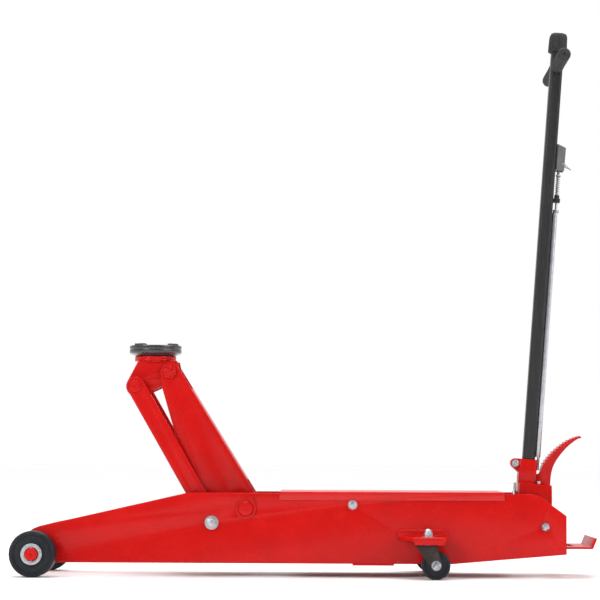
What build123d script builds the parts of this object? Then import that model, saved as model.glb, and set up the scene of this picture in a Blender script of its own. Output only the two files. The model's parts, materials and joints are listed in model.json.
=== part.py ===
"""Long-chassis hydraulic service jack, millimetres.

X runs along the jack: the lifting saddle is at -X and the handle at +X. Z is up and the floor is Z = 0.
Left is -Y, the left hand of an operator who stands behind the handle and looks at the saddle.
The lift arm is modelled raised.
"""

import math
import os

from build123d import *

os.makedirs("parts", exist_ok=True)

SIDES = (("left", -1), ("right", 1))
RUN = 0.05  # radial clearance of a running fit
GAP = 0.3  # clearance between faces that pass each other

# ---- chassis ----
HALF_LENGTH = 702.0
PLATE_OUTER = 106.0
PLATE_T = 8.0
PLATE_INNER = PLATE_OUTER - PLATE_T
PLATE_TOP_Z = 201.0
PLATE_BOTTOM_Z = 33.0
TAIL_X = 628.0

# ---- front wheels ----
WHEEL_R = 55.0
WHEEL_W = 48.0
AXLE_R = 15.0
AXLE_X = -HALF_LENGTH + WHEEL_R
AXLE_Z = WHEEL_R
WASHER_T = 3.6
WASHER_R = 25.5
WHEEL_INNER_Y = PLATE_OUTER + WASHER_T + GAP
WHEEL_OUTER_Y = WHEEL_INNER_Y + WHEEL_W
AXLE_END_Y = WHEEL_OUTER_Y + GAP + WASHER_T + 8.0
SPLIT_PIN_R = 2.0

# ---- swivel casters ----
KING_X = 294.0
KING_Y = 165.0
KING_R = 7.0
CASTER_R = 34.0
CASTER_W = 26.0
CASTER_TRAIL = 18.0
CASTER_BOLT_R = 6.0
CASTER_X = KING_X + CASTER_TRAIL
SHELF_TOP_Z = 100.0
SHELF_BOTTOM_Z = 90.0
SHELF_END_Y = 196.0
SHELF_FRONT_X = 223.0
SHELF_REAR_X = 346.0
LIP_DROP = 8.0
NOSE_FILLET = 4.0
FLANGE_T = 6.0
FLANGE_TOP_Z = 114.0
FORK_TOP_Z = 81.0
FORK_PLATE_T = 5.0
FORK_INNER = 15.0
FORK_OUTER = 19.0

# ---- lift arm: u runs from its pivot to its tip, v is across it, towards its back ----
PIVOT_X = -140.5
PIVOT_Z = 163.5
PIVOT_R = 17.0
ARM_LENGTH = 380.0
ARM_RAISED = math.radians(60.0)
ARM_LOWERED = math.radians(-9.3)
ARM_INNER = 44.0
ARM_OUTER = 52.0
TIP_PIN_R = 14.0
DRIVE_RADIUS = 85.0
DRIVE_PIN_R = 12.0

# ---- radius links, parallel to the arm ----
LINK_DX = -82.0
LINK_DZ = -34.0
LINK_INNER = 62.0
LINK_OUTER = 72.0
LINK_END_R = 22.0
LINK_PIN_R = 12.0
LINK_BOLT_R = 9.0

# ---- saddle and its bracket, heights above the arm's tip ----
BRACKET_INNER = 34.0
BRACKET_OUTER = 42.0
SADDLE_DX = -40.0
BOSS_BOTTOM = -2.0
COLLAR_BOTTOM = 28.0
COLLAR_TOP = 40.0
COLLAR_R = 51.0
BOSS_R = 24.0
STEM_R = 16.0
SADDLE_R = 64.0
DISH_R = 46.0
DISH_FLOOR = 57.0
RIM_TOP = 67.0
LUG_TOP = 71.0
LUG_ANGLE = 54.0

# ---- hydraulic unit ----
RAM_Z = 86.0
RAM_R = 18.0
FORK_HALF_X = 26.0
FORK_HALF_Y = 28.0
FORK_HALF_Z = 30.0
SLOT_HALF_X = DRIVE_PIN_R + 1.8
SLOT_HALF_Z = 21.0
GLAND_FRONT_X = -45.0
HEAD_FRONT_X = -20.0
TANK_FRONT_X = -8.0
BLOCK_FRONT_X = 392.0
BLOCK_REAR_X = 505.0
TANK_R = 48.0
BARREL_BORE_R = 33.0
PISTON_LENGTH = 32.0
PISTON_X = 30.0
BLOCK_HALF_Y = 60.0
BLOCK_BOTTOM_Z = 48.0
BLOCK_TOP_Z = 136.0

# ---- yoke, cam and pump plunger ----
YOKE_X = 577.0
YOKE_Z = 123.0
YOKE_BOLT_R = 9.0
YOKE_INNER = 30.0
YOKE_OUTER = 42.0
CAM_BASE_R = 24.0  # a flat follower moves this far for each radian that the yoke turns
CAM_START = 20.0
CAM_HALF_Y = 9.0
PLUNGER_R = 9.0
PLUNGER_Z = YOKE_Z - CAM_BASE_R
PLUNGER_FACE_X = YOKE_X - CAM_START
PLUNGER_HEAD_R = 14.0
PLUNGER_HEAD_T = 4.0

# ---- handle: s is the distance up it from the yoke, x is across it, towards the rear ----
LEAN = math.radians(4.38)
SOCKET_X = 544.0
SOCKET_Z = 225.0
SOCKET_FRONT = -23.5
SOCKET_REAR = 20.0
SOCKET_LENGTH = 59.0
SOCKET_HALF_Y = 23.0
TUBE_X = 30.0
TUBE_Y = 34.0
TUBE_CORNER = 7.0
TUBE_WALL = 3.0
TUBE_START = 5.0
TUBE_TOP = 1100.0
CROSS_BAR_S = 1035.5
CROSS_BAR_R = 11.0
GRIP_INNER = 22.0
GRIP_OUTER = 170.0
GRIP_R = 16.5
KNOB_BOTTOM = 1074.0
KNOB_TOP = 1122.0

# ---- release linkage behind the handle ----
ROD_X = 24.0
ROD_R = 3.0
ROD_BOTTOM = 34.0
SEAT_R = 6.5
SLEEVE_FRONT = 15.3
SLEEVE_REAR = 28.5
SLEEVE_Y = 13.0
SLEEVE_BOTTOM = 66.0
SLEEVE_TOP = 671.0
GUIDE_BOTTOM = 697.0
SPRING_BOTTOM = 715.0
SPRING_TOP = 764.0
COLLAR_TOP_S = 772.0
LEVER_X = 32.5
LEVER_S = 794.0
NOSE_R = 3.5
ROD_TOP = LEVER_S - NOSE_R - GAP


def side_plane(y):
    """The upright plane at this Y with X across and Z up, which extrudes towards -Y."""
    return Plane(origin=(0, y, 0), x_dir=(1, 0, 0), z_dir=(0, -1, 0))


def layer(sign, inner, outer):
    """The plane and thickness of a slab on one side, between two distances from the middle."""
    low, high = sorted((sign * inner, sign * outer))
    return side_plane(high), high - low


def arm_plane(y):
    """The plane of the raised arm at this Y: u across, v up, extruding towards +Y."""
    along = (-math.cos(ARM_RAISED), 0, math.sin(ARM_RAISED))
    return Plane(origin=(PIVOT_X, y, PIVOT_Z), x_dir=along, z_dir=(0, 1, 0))


HANDLE = Plane(
    origin=(SOCKET_X, 0, SOCKET_Z),
    x_dir=(math.cos(LEAN), 0, -math.sin(LEAN)),
    z_dir=(math.sin(LEAN), 0, math.cos(LEAN)),
)


HANDLE_AXIS = Axis(HANDLE.origin, HANDLE.z_dir)


def handle_plane(y):
    """The plane along the handle at this Y: x across, s up, extruding towards -Y."""
    return Plane(origin=(SOCKET_X, y, SOCKET_Z), x_dir=HANDLE.x_dir, z_dir=(0, -1, 0))


def handle_layer(sign, inner, outer):
    """The handle plane and thickness of a slab on one side, between two distances from the middle."""
    low, high = sorted((sign * inner, sign * outer))
    return handle_plane(high), high - low


def save(piece, name):
    """Label the piece and write it to its own STEP file."""
    piece.part.label = name
    export_step(piece.part, f"parts/{name}.step")


TIP_X = PIVOT_X - ARM_LENGTH * math.cos(ARM_RAISED)
TIP_Z = PIVOT_Z + ARM_LENGTH * math.sin(ARM_RAISED)
PIVOT = (PIVOT_X, PIVOT_Z)
TIP = (TIP_X, TIP_Z)
LINK_PIVOT = (PIVOT_X + LINK_DX, PIVOT_Z + LINK_DZ)
LINK_TIP = (TIP_X + LINK_DX, TIP_Z + LINK_DZ)
SADDLE_X = TIP_X + SADDLE_DX
HALF_SWING = (ARM_RAISED - ARM_LOWERED) / 2
DRIVE = (PIVOT_X - DRIVE_RADIUS * math.sin(HALF_SWING), PIVOT_Z - DRIVE_RADIUS * math.cos(HALF_SWING))
AXLE = (AXLE_X, AXLE_Z)
YOKE = (YOKE_X, YOKE_Z)

# ======================= chassis =======================

COVER_BOLT = (116.0, 174.0)
COVER_BOLT_R = 5.0
CHASSIS_OUTLINE = (
    (-668.0, PLATE_BOTTOM_Z),
    (-680.0, 52.0),
    (-675.0, 92.0),
    (-653.0, 113.0),
    (-636.0, 120.0),
    (-586.0, 130.5),
    (-277.0, PLATE_TOP_Z),
    (545.0, PLATE_TOP_Z),
    (568.0, 193.5),
    (590.0, 176.5),
    (TAIL_X, 149.0),
    (TAIL_X, 57.0),
    (352.0, PLATE_BOTTOM_Z),
)

for side, sign in SIDES:
    plane, thickness = layer(sign, PLATE_INNER, PLATE_OUTER)
    with BuildPart() as side_plate:
        with BuildSketch(plane):
            Polygon(*CHASSIS_OUTLINE, align=None)
            for centre, radius in (
                (AXLE, AXLE_R),
                (PIVOT, PIVOT_R),
                (LINK_PIVOT, LINK_BOLT_R),
                (YOKE, YOKE_BOLT_R),
                (COVER_BOLT, COVER_BOLT_R),
            ):
                with Locations(centre):
                    Circle(radius, mode=Mode.SUBTRACT)
        extrude(amount=thickness)
    save(side_plate, f"side_plate_{side}")

# bent plate that closes the nose between the side plates
with BuildPart() as nose_plate:
    with BuildSketch(side_plane(PLATE_INNER)):
        Polygon(
            (-677, 76),
            (-675, 92),
            (-653, 113),
            (-632, 121),
            (-630, 116),
            (-650, 108),
            (-670, 89),
            (-672, 76),
            align=None,
        )
    extrude(amount=2 * PLATE_INNER)
save(nose_plate, "nose_plate")

# tie plate under both side plates
TIE_T = 4.0
with BuildPart() as bottom_tie_plate:
    with BuildSketch(Plane.XY.offset(PLATE_BOTTOM_Z - TIE_T)):
        with Locations((165.5, 0)):
            RectangleRounded(99, 2 * PLATE_OUTER, 4)
    extrude(amount=TIE_T)
save(bottom_tie_plate, "bottom_tie_plate")

# folded cover over the hydraulic unit, whose skirts lap over the side plates
COVER_T = 4.0
SKIRT_T = 3.0
COVER_FRONT_X = -60.0
COVER_REAR_X = 480.0
COVER_MID_X = (COVER_FRONT_X + COVER_REAR_X) / 2
SKIRT_BOTTOM_Z = 184.0
COVER_TAB_R = 14.0
COVER_HALF_Y = PLATE_OUTER + SKIRT_T
with BuildPart() as top_cover:
    with BuildSketch(Plane.XY.offset(PLATE_TOP_Z)):
        with Locations((COVER_MID_X, 0)):
            Rectangle(COVER_REAR_X - COVER_FRONT_X, 2 * COVER_HALF_Y)
    extrude(amount=COVER_T)
    for side, sign in SIDES:
        plane, thickness = layer(sign, PLATE_OUTER, COVER_HALF_Y)
        with BuildSketch(plane):
            with Locations((COVER_MID_X, (SKIRT_BOTTOM_Z + PLATE_TOP_Z) / 2)):
                Rectangle(COVER_REAR_X - COVER_FRONT_X, PLATE_TOP_Z - SKIRT_BOTTOM_Z)
            with Locations(COVER_BOLT):
                Circle(COVER_TAB_R)
                Circle(COVER_BOLT_R, mode=Mode.SUBTRACT)
        extrude(amount=thickness)
    fillet(top_cover.edges().filter_by(Axis.X).group_by(Axis.Z)[-1], radius=3)
save(top_cover, "top_cover")

# hex bolts that hold the cover, with nuts inside the side plates
with BuildPart() as cover_bolts:
    for side, sign in SIDES:
        for radius, sides, inner, outer in (
            (COVER_BOLT_R, 0, PLATE_INNER, COVER_HALF_Y),
            (9.8, 6, COVER_HALF_Y, COVER_HALF_Y + 6.5),
            (9.8, 6, PLATE_INNER - 8, PLATE_INNER),
        ):
            plane, thickness = layer(sign, inner, outer)
            with BuildSketch(plane):
                with Locations(COVER_BOLT):
                    if sides:
                        RegularPolygon(radius, sides)
                    else:
                        Circle(radius)
            extrude(amount=thickness)
save(cover_bolts, "cover_bolts")

# tail plate: a hand hold for steering, with an upturned lip
TAIL_PLATE_Z = 70.0
TAIL_PLATE_T = 5.0
HAND_SLOT_X = 641.0
HAND_SLOT_LENGTH = 110.0
HAND_SLOT_WIDTH = 26.0
with BuildPart() as tail_plate:
    with BuildSketch(side_plane(PLATE_INNER)):
        Polygon(
            (606, TAIL_PLATE_Z),
            (692, TAIL_PLATE_Z),
            (HALF_LENGTH, 95),
            (HALF_LENGTH - 4.7, 97),
            (688.4, TAIL_PLATE_Z + TAIL_PLATE_T),
            (606, TAIL_PLATE_Z + TAIL_PLATE_T),
            align=None,
        )
    extrude(amount=2 * PLATE_INNER)
    bends = tail_plate.edges().filter_by(Axis.Y).filter_by_position(Axis.X, 687, 693)
    fillet(bends, radius=3)
    with BuildSketch(Plane.XY.offset(TAIL_PLATE_Z)):
        with Locations((HAND_SLOT_X, 0)):
            SlotOverall(HAND_SLOT_LENGTH, HAND_SLOT_WIDTH, rotation=90)
    extrude(amount=TAIL_PLATE_T, mode=Mode.SUBTRACT)
save(tail_plate, "tail_plate")

# ======================= front axle and wheels =======================

SPLIT_PIN_Y = AXLE_END_Y - 4.5
with BuildPart() as front_axle:
    with BuildSketch(side_plane(AXLE_END_Y)):
        with Locations(AXLE):
            Circle(AXLE_R)
    extrude(amount=2 * AXLE_END_Y)
    chamfer(front_axle.edges().filter_by(GeomType.CIRCLE), length=1.5)
    with BuildSketch(Plane.XY.offset(AXLE_Z - AXLE_R - 1)):
        with Locations((AXLE_X, SPLIT_PIN_Y), (AXLE_X, -SPLIT_PIN_Y)):
            Circle(SPLIT_PIN_R)
    extrude(amount=2 * AXLE_R + 2, mode=Mode.SUBTRACT)
save(front_axle, "front_axle")

# a washer on each face of each wheel, and a split pin outside it
with BuildPart() as wheel_retainers:
    for side, sign in SIDES:
        for inner in (PLATE_OUTER, WHEEL_OUTER_Y + GAP):
            plane, thickness = layer(sign, inner, inner + WASHER_T)
            with BuildSketch(plane):
                with Locations(AXLE):
                    Circle(WASHER_R)
                    Circle(AXLE_R, mode=Mode.SUBTRACT)
            extrude(amount=thickness)
        with BuildSketch(Plane.XY.offset(AXLE_Z - AXLE_R - 5)):
            with Locations((AXLE_X, sign * SPLIT_PIN_Y)):
                Circle(SPLIT_PIN_R)
        extrude(amount=2 * AXLE_R + 10)
save(wheel_retainers, "wheel_retainers")


def wheel_profile(bore, hub, web, rim, half_width, recess):
    """Half the section of a solid wheel, as (radius, distance along the axle) points."""
    half = [(bore, 0), (bore, half_width), (hub, half_width), (hub + 1.5, half_width - recess)]
    half += [(web - 1.5, half_width - recess), (web, half_width), (rim, half_width), (rim, 0)]
    return half + [(radius, -y) for radius, y in reversed(half[1:-1])]


for side, sign in SIDES:
    middle = sign * (WHEEL_INNER_Y + WHEEL_OUTER_Y) / 2
    with BuildPart() as front_wheel:
        with BuildSketch(Plane.XY.offset(AXLE_Z)):
            with Locations((AXLE_X, middle)):
                Polygon(*wheel_profile(AXLE_R + RUN, 28, 45, WHEEL_R, WHEEL_W / 2, 3), align=None)
        revolve(axis=Axis((AXLE_X, 0, AXLE_Z), (0, 1, 0)))
        fillet(front_wheel.edges().filter_by(GeomType.CIRCLE).sort_by(SortBy.RADIUS)[-2:], radius=4)
    save(front_wheel, f"front_wheel_{side}")

# ======================= rear swivel casters =======================

for side, sign in SIDES:
    with BuildPart() as caster_bracket:
        with BuildSketch(Plane.XY.offset(SHELF_BOTTOM_Z)):
            with BuildLine():
                Polyline(
                    (SHELF_FRONT_X, sign * PLATE_OUTER),
                    (252, sign * 186),
                    (259, sign * SHELF_END_Y),
                    (333, sign * SHELF_END_Y),
                    (340, sign * 186),
                    (SHELF_REAR_X, sign * 130),
                    (SHELF_REAR_X, sign * PLATE_OUTER),
                    close=True,
                )
            make_face()
            with Locations((KING_X, sign * KING_Y)):
                Circle(KING_R, mode=Mode.SUBTRACT)
        extrude(amount=SHELF_TOP_Z - SHELF_BOTTOM_Z)
        rim = caster_bracket.faces().sort_by(Axis.Z)[-1].outer_wire().edges()
        fillet(rim.filter_by(lambda edge: abs(edge.center().Y) > PLATE_OUTER + 1), radius=NOSE_FILLET)
        # lip turned down along the nose
        plane, thickness = layer(sign, SHELF_END_Y - 5, SHELF_END_Y)
        with BuildSketch(plane):
            with Locations((296, SHELF_BOTTOM_Z)):
                Rectangle(72, LIP_DROP, align=(Align.CENTER, Align.MAX))
        extrude(amount=thickness)
        # flange turned up against the side plate
        plane, thickness = layer(sign, PLATE_OUTER, PLATE_OUTER + FLANGE_T)
        with BuildSketch(plane):
            with Locations(((SHELF_FRONT_X + SHELF_REAR_X) / 2, (SHELF_BOTTOM_Z + 4 + FLANGE_TOP_Z) / 2)):
                RectangleRounded(SHELF_REAR_X - SHELF_FRONT_X, FLANGE_TOP_Z - SHELF_BOTTOM_Z - 4, 6)
        extrude(amount=thickness)
    save(caster_bracket, f"caster_bracket_{side}")

# king pin of each caster: head under the fork, thrust washer, hex nut and its dome
PIN_HEAD_T = 5.2
PIN_HEAD_Z = FORK_TOP_Z - FORK_PLATE_T - GAP - PIN_HEAD_T
with BuildPart() as king_pins:
    for side, sign in SIDES:
        centre = (KING_X, sign * KING_Y)
        for bottom, top, radius in (
            (PIN_HEAD_Z, PIN_HEAD_Z + PIN_HEAD_T, 11),
            (PIN_HEAD_Z, SHELF_TOP_Z + 18, KING_R),
            (FORK_TOP_Z + GAP, SHELF_BOTTOM_Z, 21),
        ):
            with BuildSketch(Plane.XY.offset(bottom)):
                with Locations(centre):
                    Circle(radius)
            extrude(amount=top - bottom)
        with BuildSketch(Plane.XY.offset(SHELF_TOP_Z)):
            with Locations(centre):
                RegularPolygon(11.5, 6)
        extrude(amount=11)
        with BuildSketch(Plane.XY.offset(SHELF_TOP_Z + 11)):
            with Locations(centre):
                Circle(9)
        extrude(amount=9, taper=20)
save(king_pins, "king_pins")

for side, sign in SIDES:
    middle = sign * KING_Y
    axle_plane = Plane.XY.offset(CASTER_R)
    axle = (CASTER_X, CASTER_R)
    with BuildPart() as caster_fork:
        with BuildSketch(Plane.XY.offset(FORK_TOP_Z - FORK_PLATE_T)):
            with Locations((291, middle)):
                RectangleRounded(52, 2 * FORK_OUTER, 5)
            with Locations((KING_X, middle)):
                Circle(KING_R + RUN, mode=Mode.SUBTRACT)
        extrude(amount=FORK_PLATE_T)
        for outer in (FORK_OUTER, -FORK_INNER):
            with BuildSketch(side_plane(middle + outer)):
                with Locations(axle):
                    Circle(14.5)
                with Locations((291, FORK_TOP_Z - FORK_PLATE_T + 1)):
                    Rectangle(46, 2)
                make_hull()
                with Locations(axle):
                    Circle(CASTER_BOLT_R, mode=Mode.SUBTRACT)
            extrude(amount=FORK_OUTER - FORK_INNER)
    save(caster_fork, f"caster_fork_{side}")

    with BuildPart() as caster_axle:
        with BuildSketch(side_plane(middle + FORK_OUTER)):
            with Locations(axle):
                Circle(CASTER_BOLT_R)
        extrude(amount=2 * FORK_OUTER)
        for start in (FORK_OUTER + 7.5, -FORK_OUTER):
            with BuildSketch(side_plane(middle + start)):
                with Locations(axle):
                    RegularPolygon(10.8, 6)
            extrude(amount=7.5)
    save(caster_axle, f"caster_axle_{side}")

    with BuildPart() as caster_wheel:
        with BuildSketch(axle_plane):
            with Locations((CASTER_X, middle)):
                Polygon(*wheel_profile(CASTER_BOLT_R + RUN, 12, 27, CASTER_R, CASTER_W / 2, 2), align=None)
        revolve(axis=Axis((CASTER_X, 0, CASTER_R), (0, 1, 0)))
        fillet(caster_wheel.edges().filter_by(GeomType.CIRCLE).sort_by(SortBy.RADIUS)[-2:], radius=2.5)
    save(caster_wheel, f"caster_wheel_{side}")

# ======================= lift arm =======================

# the drive pin seen from the pivot, in the arm's own u and v
drive_dx, drive_dz = DRIVE[0] - PIVOT_X, DRIVE[1] - PIVOT_Z
DRIVE_UV = (
    -drive_dx * math.cos(ARM_RAISED) + drive_dz * math.sin(ARM_RAISED),
    drive_dx * math.sin(ARM_RAISED) + drive_dz * math.cos(ARM_RAISED),
)
for side, sign in SIDES:
    with BuildPart() as arm_plate:
        with BuildSketch(arm_plane(min(sign * ARM_INNER, sign * ARM_OUTER))):
            for centre, radius in (
                ((ARM_LENGTH, 0), 23.5),
                ((ARM_LENGTH - 28, -22), 14),
                ((0, 0), 36),
                ((60, -95), 12),
                (DRIVE_UV, 22),
            ):
                with Locations(centre):
                    Circle(radius)
            make_hull()
            for centre, radius in (
                ((ARM_LENGTH, 0), TIP_PIN_R),
                ((0, 0), PIVOT_R + RUN),
                (DRIVE_UV, DRIVE_PIN_R),
            ):
                with Locations(centre):
                    Circle(radius, mode=Mode.SUBTRACT)
        extrude(amount=ARM_OUTER - ARM_INNER)
    save(arm_plate, f"arm_plate_{side}")

# the arm's back, let in between its sides along their upper edges
BACK_START = 60.0
BACK_END = 322.0
BACK_T = 7.0
BACK_V = 26.5
BACK_SLOPE = math.degrees(math.atan2(36 - 23.5, ARM_LENGTH))
with BuildPart() as arm_back_plate:
    with BuildSketch(arm_plane(-ARM_INNER)):
        with Locations(Location(((BACK_START + BACK_END) / 2, BACK_V), -BACK_SLOPE)):
            Rectangle(BACK_END - BACK_START, BACK_T)
    extrude(amount=2 * ARM_INNER)
save(arm_back_plate, "arm_back_plate")

# hub round the pivot shaft, and a stiffening tube near the arm's lower edge
with BuildPart() as arm_cross_tubes:
    for centre, radius, bore in (((0, 0), 26, PIVOT_R + RUN), ((215, -42), 17, 13)):
        with BuildSketch(arm_plane(-ARM_INNER)):
            with Locations(centre):
                Circle(radius)
                Circle(bore, mode=Mode.SUBTRACT)
        extrude(amount=2 * ARM_INNER)
save(arm_cross_tubes, "arm_cross_tubes")

with BuildPart() as drive_pin:
    with BuildSketch(side_plane(ARM_OUTER + 3)):
        with Locations(DRIVE):
            Circle(DRIVE_PIN_R)
    extrude(amount=2 * (ARM_OUTER + 3))
    chamfer(drive_pin.edges().filter_by(GeomType.CIRCLE), length=1.2)
save(drive_pin, "drive_pin")

# bolt through the arm's tip, on which the saddle bracket turns
TIP_HEAD_T = 8.0
with BuildPart() as arm_tip_bolt:
    with BuildSketch(side_plane(ARM_OUTER)):
        with Locations(TIP):
            Circle(TIP_PIN_R)
    extrude(amount=2 * ARM_OUTER)
    for start in (ARM_OUTER + TIP_HEAD_T, -ARM_OUTER):
        with BuildSketch(side_plane(start)):
            with Locations(TIP):
                RegularPolygon(18, 6)
        extrude(amount=TIP_HEAD_T)
save(arm_tip_bolt, "arm_tip_bolt")

# pivot shaft, held at each end by a lock tab and its screw
TAB_SCREW = (-127.0, 186.5)
TAB_T = 4.0
SHAFT_END_Y = PLATE_OUTER + 11.0
with BuildPart() as arm_pivot_shaft:
    with BuildSketch(side_plane(SHAFT_END_Y)):
        with Locations(PIVOT):
            Circle(PIVOT_R)
    extrude(amount=2 * SHAFT_END_Y)
    chamfer(arm_pivot_shaft.edges().filter_by(GeomType.CIRCLE), length=1.5)
save(arm_pivot_shaft, "arm_pivot_shaft")

with BuildPart() as pivot_lock_tabs:
    for side, sign in SIDES:
        plane, thickness = layer(sign, PLATE_OUTER, PLATE_OUTER + TAB_T)
        with BuildSketch(plane):
            with Locations(PIVOT):
                Circle(25)
            with Locations(TAB_SCREW):
                Circle(7.5)
            make_hull()
            with Locations(PIVOT):
                Circle(PIVOT_R, mode=Mode.SUBTRACT)
        extrude(amount=thickness)
        plane, thickness = layer(sign, PLATE_OUTER + TAB_T, PLATE_OUTER + TAB_T + 5)
        with BuildSketch(plane):
            with Locations(TAB_SCREW):
                Circle(5.5)
        extrude(amount=thickness)
save(pivot_lock_tabs, "pivot_lock_tabs")

# spacers that keep the moving parts in the middle of the chassis
with BuildPart() as pivot_spacers:
    for side, sign in SIDES:
        for centre, bore, radius, inner in (
            (PIVOT, PIVOT_R, 24, ARM_OUTER + GAP),
            (LINK_PIVOT, LINK_BOLT_R, 15, LINK_OUTER + GAP),
            (YOKE, YOKE_BOLT_R, 16, YOKE_OUTER + GAP),
        ):
            plane, thickness = layer(sign, inner, PLATE_INNER)
            with BuildSketch(plane):
                with Locations(centre):
                    Circle(radius)
                    Circle(bore, mode=Mode.SUBTRACT)
            extrude(amount=thickness)
save(pivot_spacers, "pivot_spacers")

# ======================= radius links =======================

# stub bolts that carry the links: inner flange, shank, washer and hex nut
with BuildPart() as link_bolts:
    for side, sign in SIDES:
        for radius, inner, outer in (
            (14, LINK_INNER - GAP - 5, LINK_INNER - GAP),
            (LINK_BOLT_R, LINK_INNER - GAP, PLATE_OUTER + 15),
            (16.5, PLATE_OUTER, PLATE_OUTER + 3),
        ):
            plane, thickness = layer(sign, inner, outer)
            with BuildSketch(plane):
                with Locations(LINK_PIVOT):
                    Circle(radius)
            extrude(amount=thickness)
        plane, thickness = layer(sign, PLATE_OUTER + 3, PLATE_OUTER + 12)
        with BuildSketch(plane):
            with Locations(LINK_PIVOT):
                RegularPolygon(13.4, 6)
        extrude(amount=thickness)
save(link_bolts, "link_bolts")

for side, sign in SIDES:
    plane, thickness = layer(sign, LINK_INNER, LINK_OUTER)
    with BuildPart() as radius_link:
        with BuildSketch(plane):
            with Locations(LINK_PIVOT, LINK_TIP):
                Circle(LINK_END_R)
            make_hull()
            with Locations(LINK_PIVOT):
                Circle(LINK_BOLT_R + RUN, mode=Mode.SUBTRACT)
            with Locations(LINK_TIP):
                Circle(LINK_PIN_R + RUN, mode=Mode.SUBTRACT)
        extrude(amount=thickness)
    save(radius_link, f"radius_link_{side}")

# ======================= saddle bracket =======================

for side, sign in SIDES:
    plane, thickness = layer(sign, BRACKET_INNER, BRACKET_OUTER)
    with BuildPart() as bracket_plate:
        with BuildSketch(plane):
            with Locations(TIP):
                Circle(23)
            with Locations(LINK_TIP):
                Circle(26)
            with Locations((TIP_X - 31, TIP_Z + COLLAR_BOTTOM - 4)):
                Rectangle(96, 8)
            make_hull()
            with Locations(TIP):
                Circle(TIP_PIN_R + RUN, mode=Mode.SUBTRACT)
            with Locations(LINK_TIP):
                Circle(LINK_PIN_R, mode=Mode.SUBTRACT)
        extrude(amount=thickness)
    save(bracket_plate, f"bracket_plate_{side}")

# collar plate on the bracket, with a boss under it that guides the saddle's stem
with BuildPart() as saddle_collar:
    with BuildSketch(Plane.XY.offset(TIP_Z + COLLAR_BOTTOM)):
        with Locations((SADDLE_X, 0)):
            Circle(COLLAR_R)
    extrude(amount=COLLAR_TOP - COLLAR_BOTTOM)
    fillet(saddle_collar.edges(), radius=1.5)
    with BuildSketch(Plane.XY.offset(TIP_Z + BOSS_BOTTOM)):
        with Locations((SADDLE_X, 0)):
            Circle(BOSS_R)
    extrude(amount=COLLAR_BOTTOM - BOSS_BOTTOM)
    with BuildSketch(Plane.XY.offset(TIP_Z + BOSS_BOTTOM)):
        with Locations((SADDLE_X, 0)):
            Circle(STEM_R)
    extrude(amount=COLLAR_TOP - BOSS_BOTTOM, mode=Mode.SUBTRACT)
save(saddle_collar, "saddle_collar")

# pin through the bracket and both links: shoulders inside the links, rings outside them
PIN_END_Y = LINK_OUTER + 4.5
with BuildPart() as link_tip_pin:
    with BuildSketch(side_plane(PIN_END_Y)):
        with Locations(LINK_TIP):
            Circle(LINK_PIN_R)
    extrude(amount=2 * PIN_END_Y)
    chamfer(link_tip_pin.edges().filter_by(GeomType.CIRCLE), length=1)
    for side, sign in SIDES:
        for radius, inner, outer in (
            (16, BRACKET_OUTER, LINK_INNER - GAP),
            (15.5, LINK_OUTER + GAP, LINK_OUTER + GAP + 1.8),
        ):
            plane, thickness = layer(sign, inner, outer)
            with BuildSketch(plane):
                with Locations(LINK_TIP):
                    Circle(radius)
            extrude(amount=thickness)
save(link_tip_pin, "link_tip_pin")

# ======================= saddle =======================

with BuildPart() as saddle:
    with BuildSketch(Plane(origin=(SADDLE_X, 0, TIP_Z), x_dir=(1, 0, 0), z_dir=(0, -1, 0))):
        Polygon(
            (0, BOSS_BOTTOM - 4),
            (STEM_R - RUN, BOSS_BOTTOM - 4),
            (STEM_R - RUN, COLLAR_TOP + GAP),
            (45, COLLAR_TOP + GAP),
            (49, 46),
            (SADDLE_R - 3, 48),
            (SADDLE_R, 51),
            (SADDLE_R, RIM_TOP),
            (DISH_R, RIM_TOP),
            (DISH_R - 3, DISH_FLOOR),
            (0, DISH_FLOOR),
            align=None,
        )
    revolve(axis=Axis((SADDLE_X, 0, 0), (0, 0, 1)))
    with BuildSketch(Plane.XY.offset(TIP_Z + RIM_TOP)):
        with Locations((SADDLE_X, 0)):
            with PolarLocations(54.5, 4, start_angle=LUG_ANGLE):
                Rectangle(16, 25)
    extrude(amount=LUG_TOP - RIM_TOP)
save(saddle, "saddle")

# ======================= ram and its cylinder =======================

with BuildPart() as drive_fork:
    with BuildSketch(side_plane(FORK_HALF_Y)):
        with Locations((DRIVE[0], RAM_Z)):
            RectangleRounded(2 * FORK_HALF_X, 2 * FORK_HALF_Z, 6)
            RectangleRounded(2 * SLOT_HALF_X, 2 * SLOT_HALF_Z, SLOT_HALF_X - 1, mode=Mode.SUBTRACT)
    extrude(amount=2 * FORK_HALF_Y)
save(drive_fork, "drive_fork")

PISTON_GAP = 0.05
with BuildPart() as ram_rod:
    rod_start = DRIVE[0] + FORK_HALF_X
    with BuildSketch(Plane(origin=(rod_start, 0, RAM_Z), x_dir=(0, 1, 0), z_dir=(1, 0, 0))):
        Circle(RAM_R)
    extrude(amount=PISTON_X + PISTON_LENGTH - rod_start)
    with BuildSketch(Plane(origin=(PISTON_X, 0, RAM_Z), x_dir=(0, 1, 0), z_dir=(1, 0, 0))):
        Circle(BARREL_BORE_R - PISTON_GAP)
    extrude(amount=PISTON_LENGTH)
save(ram_rod, "ram_rod")

with BuildPart() as cylinder_head:
    for start, end, radius in (
        (GLAND_FRONT_X, HEAD_FRONT_X, 30),
        (HEAD_FRONT_X, TANK_FRONT_X, TANK_R + 3),
    ):
        with BuildSketch(Plane(origin=(start, 0, RAM_Z), x_dir=(0, 1, 0), z_dir=(1, 0, 0))):
            Circle(radius)
            Circle(RAM_R + RUN, mode=Mode.SUBTRACT)
        extrude(amount=end - start)
save(cylinder_head, "cylinder_head")

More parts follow.
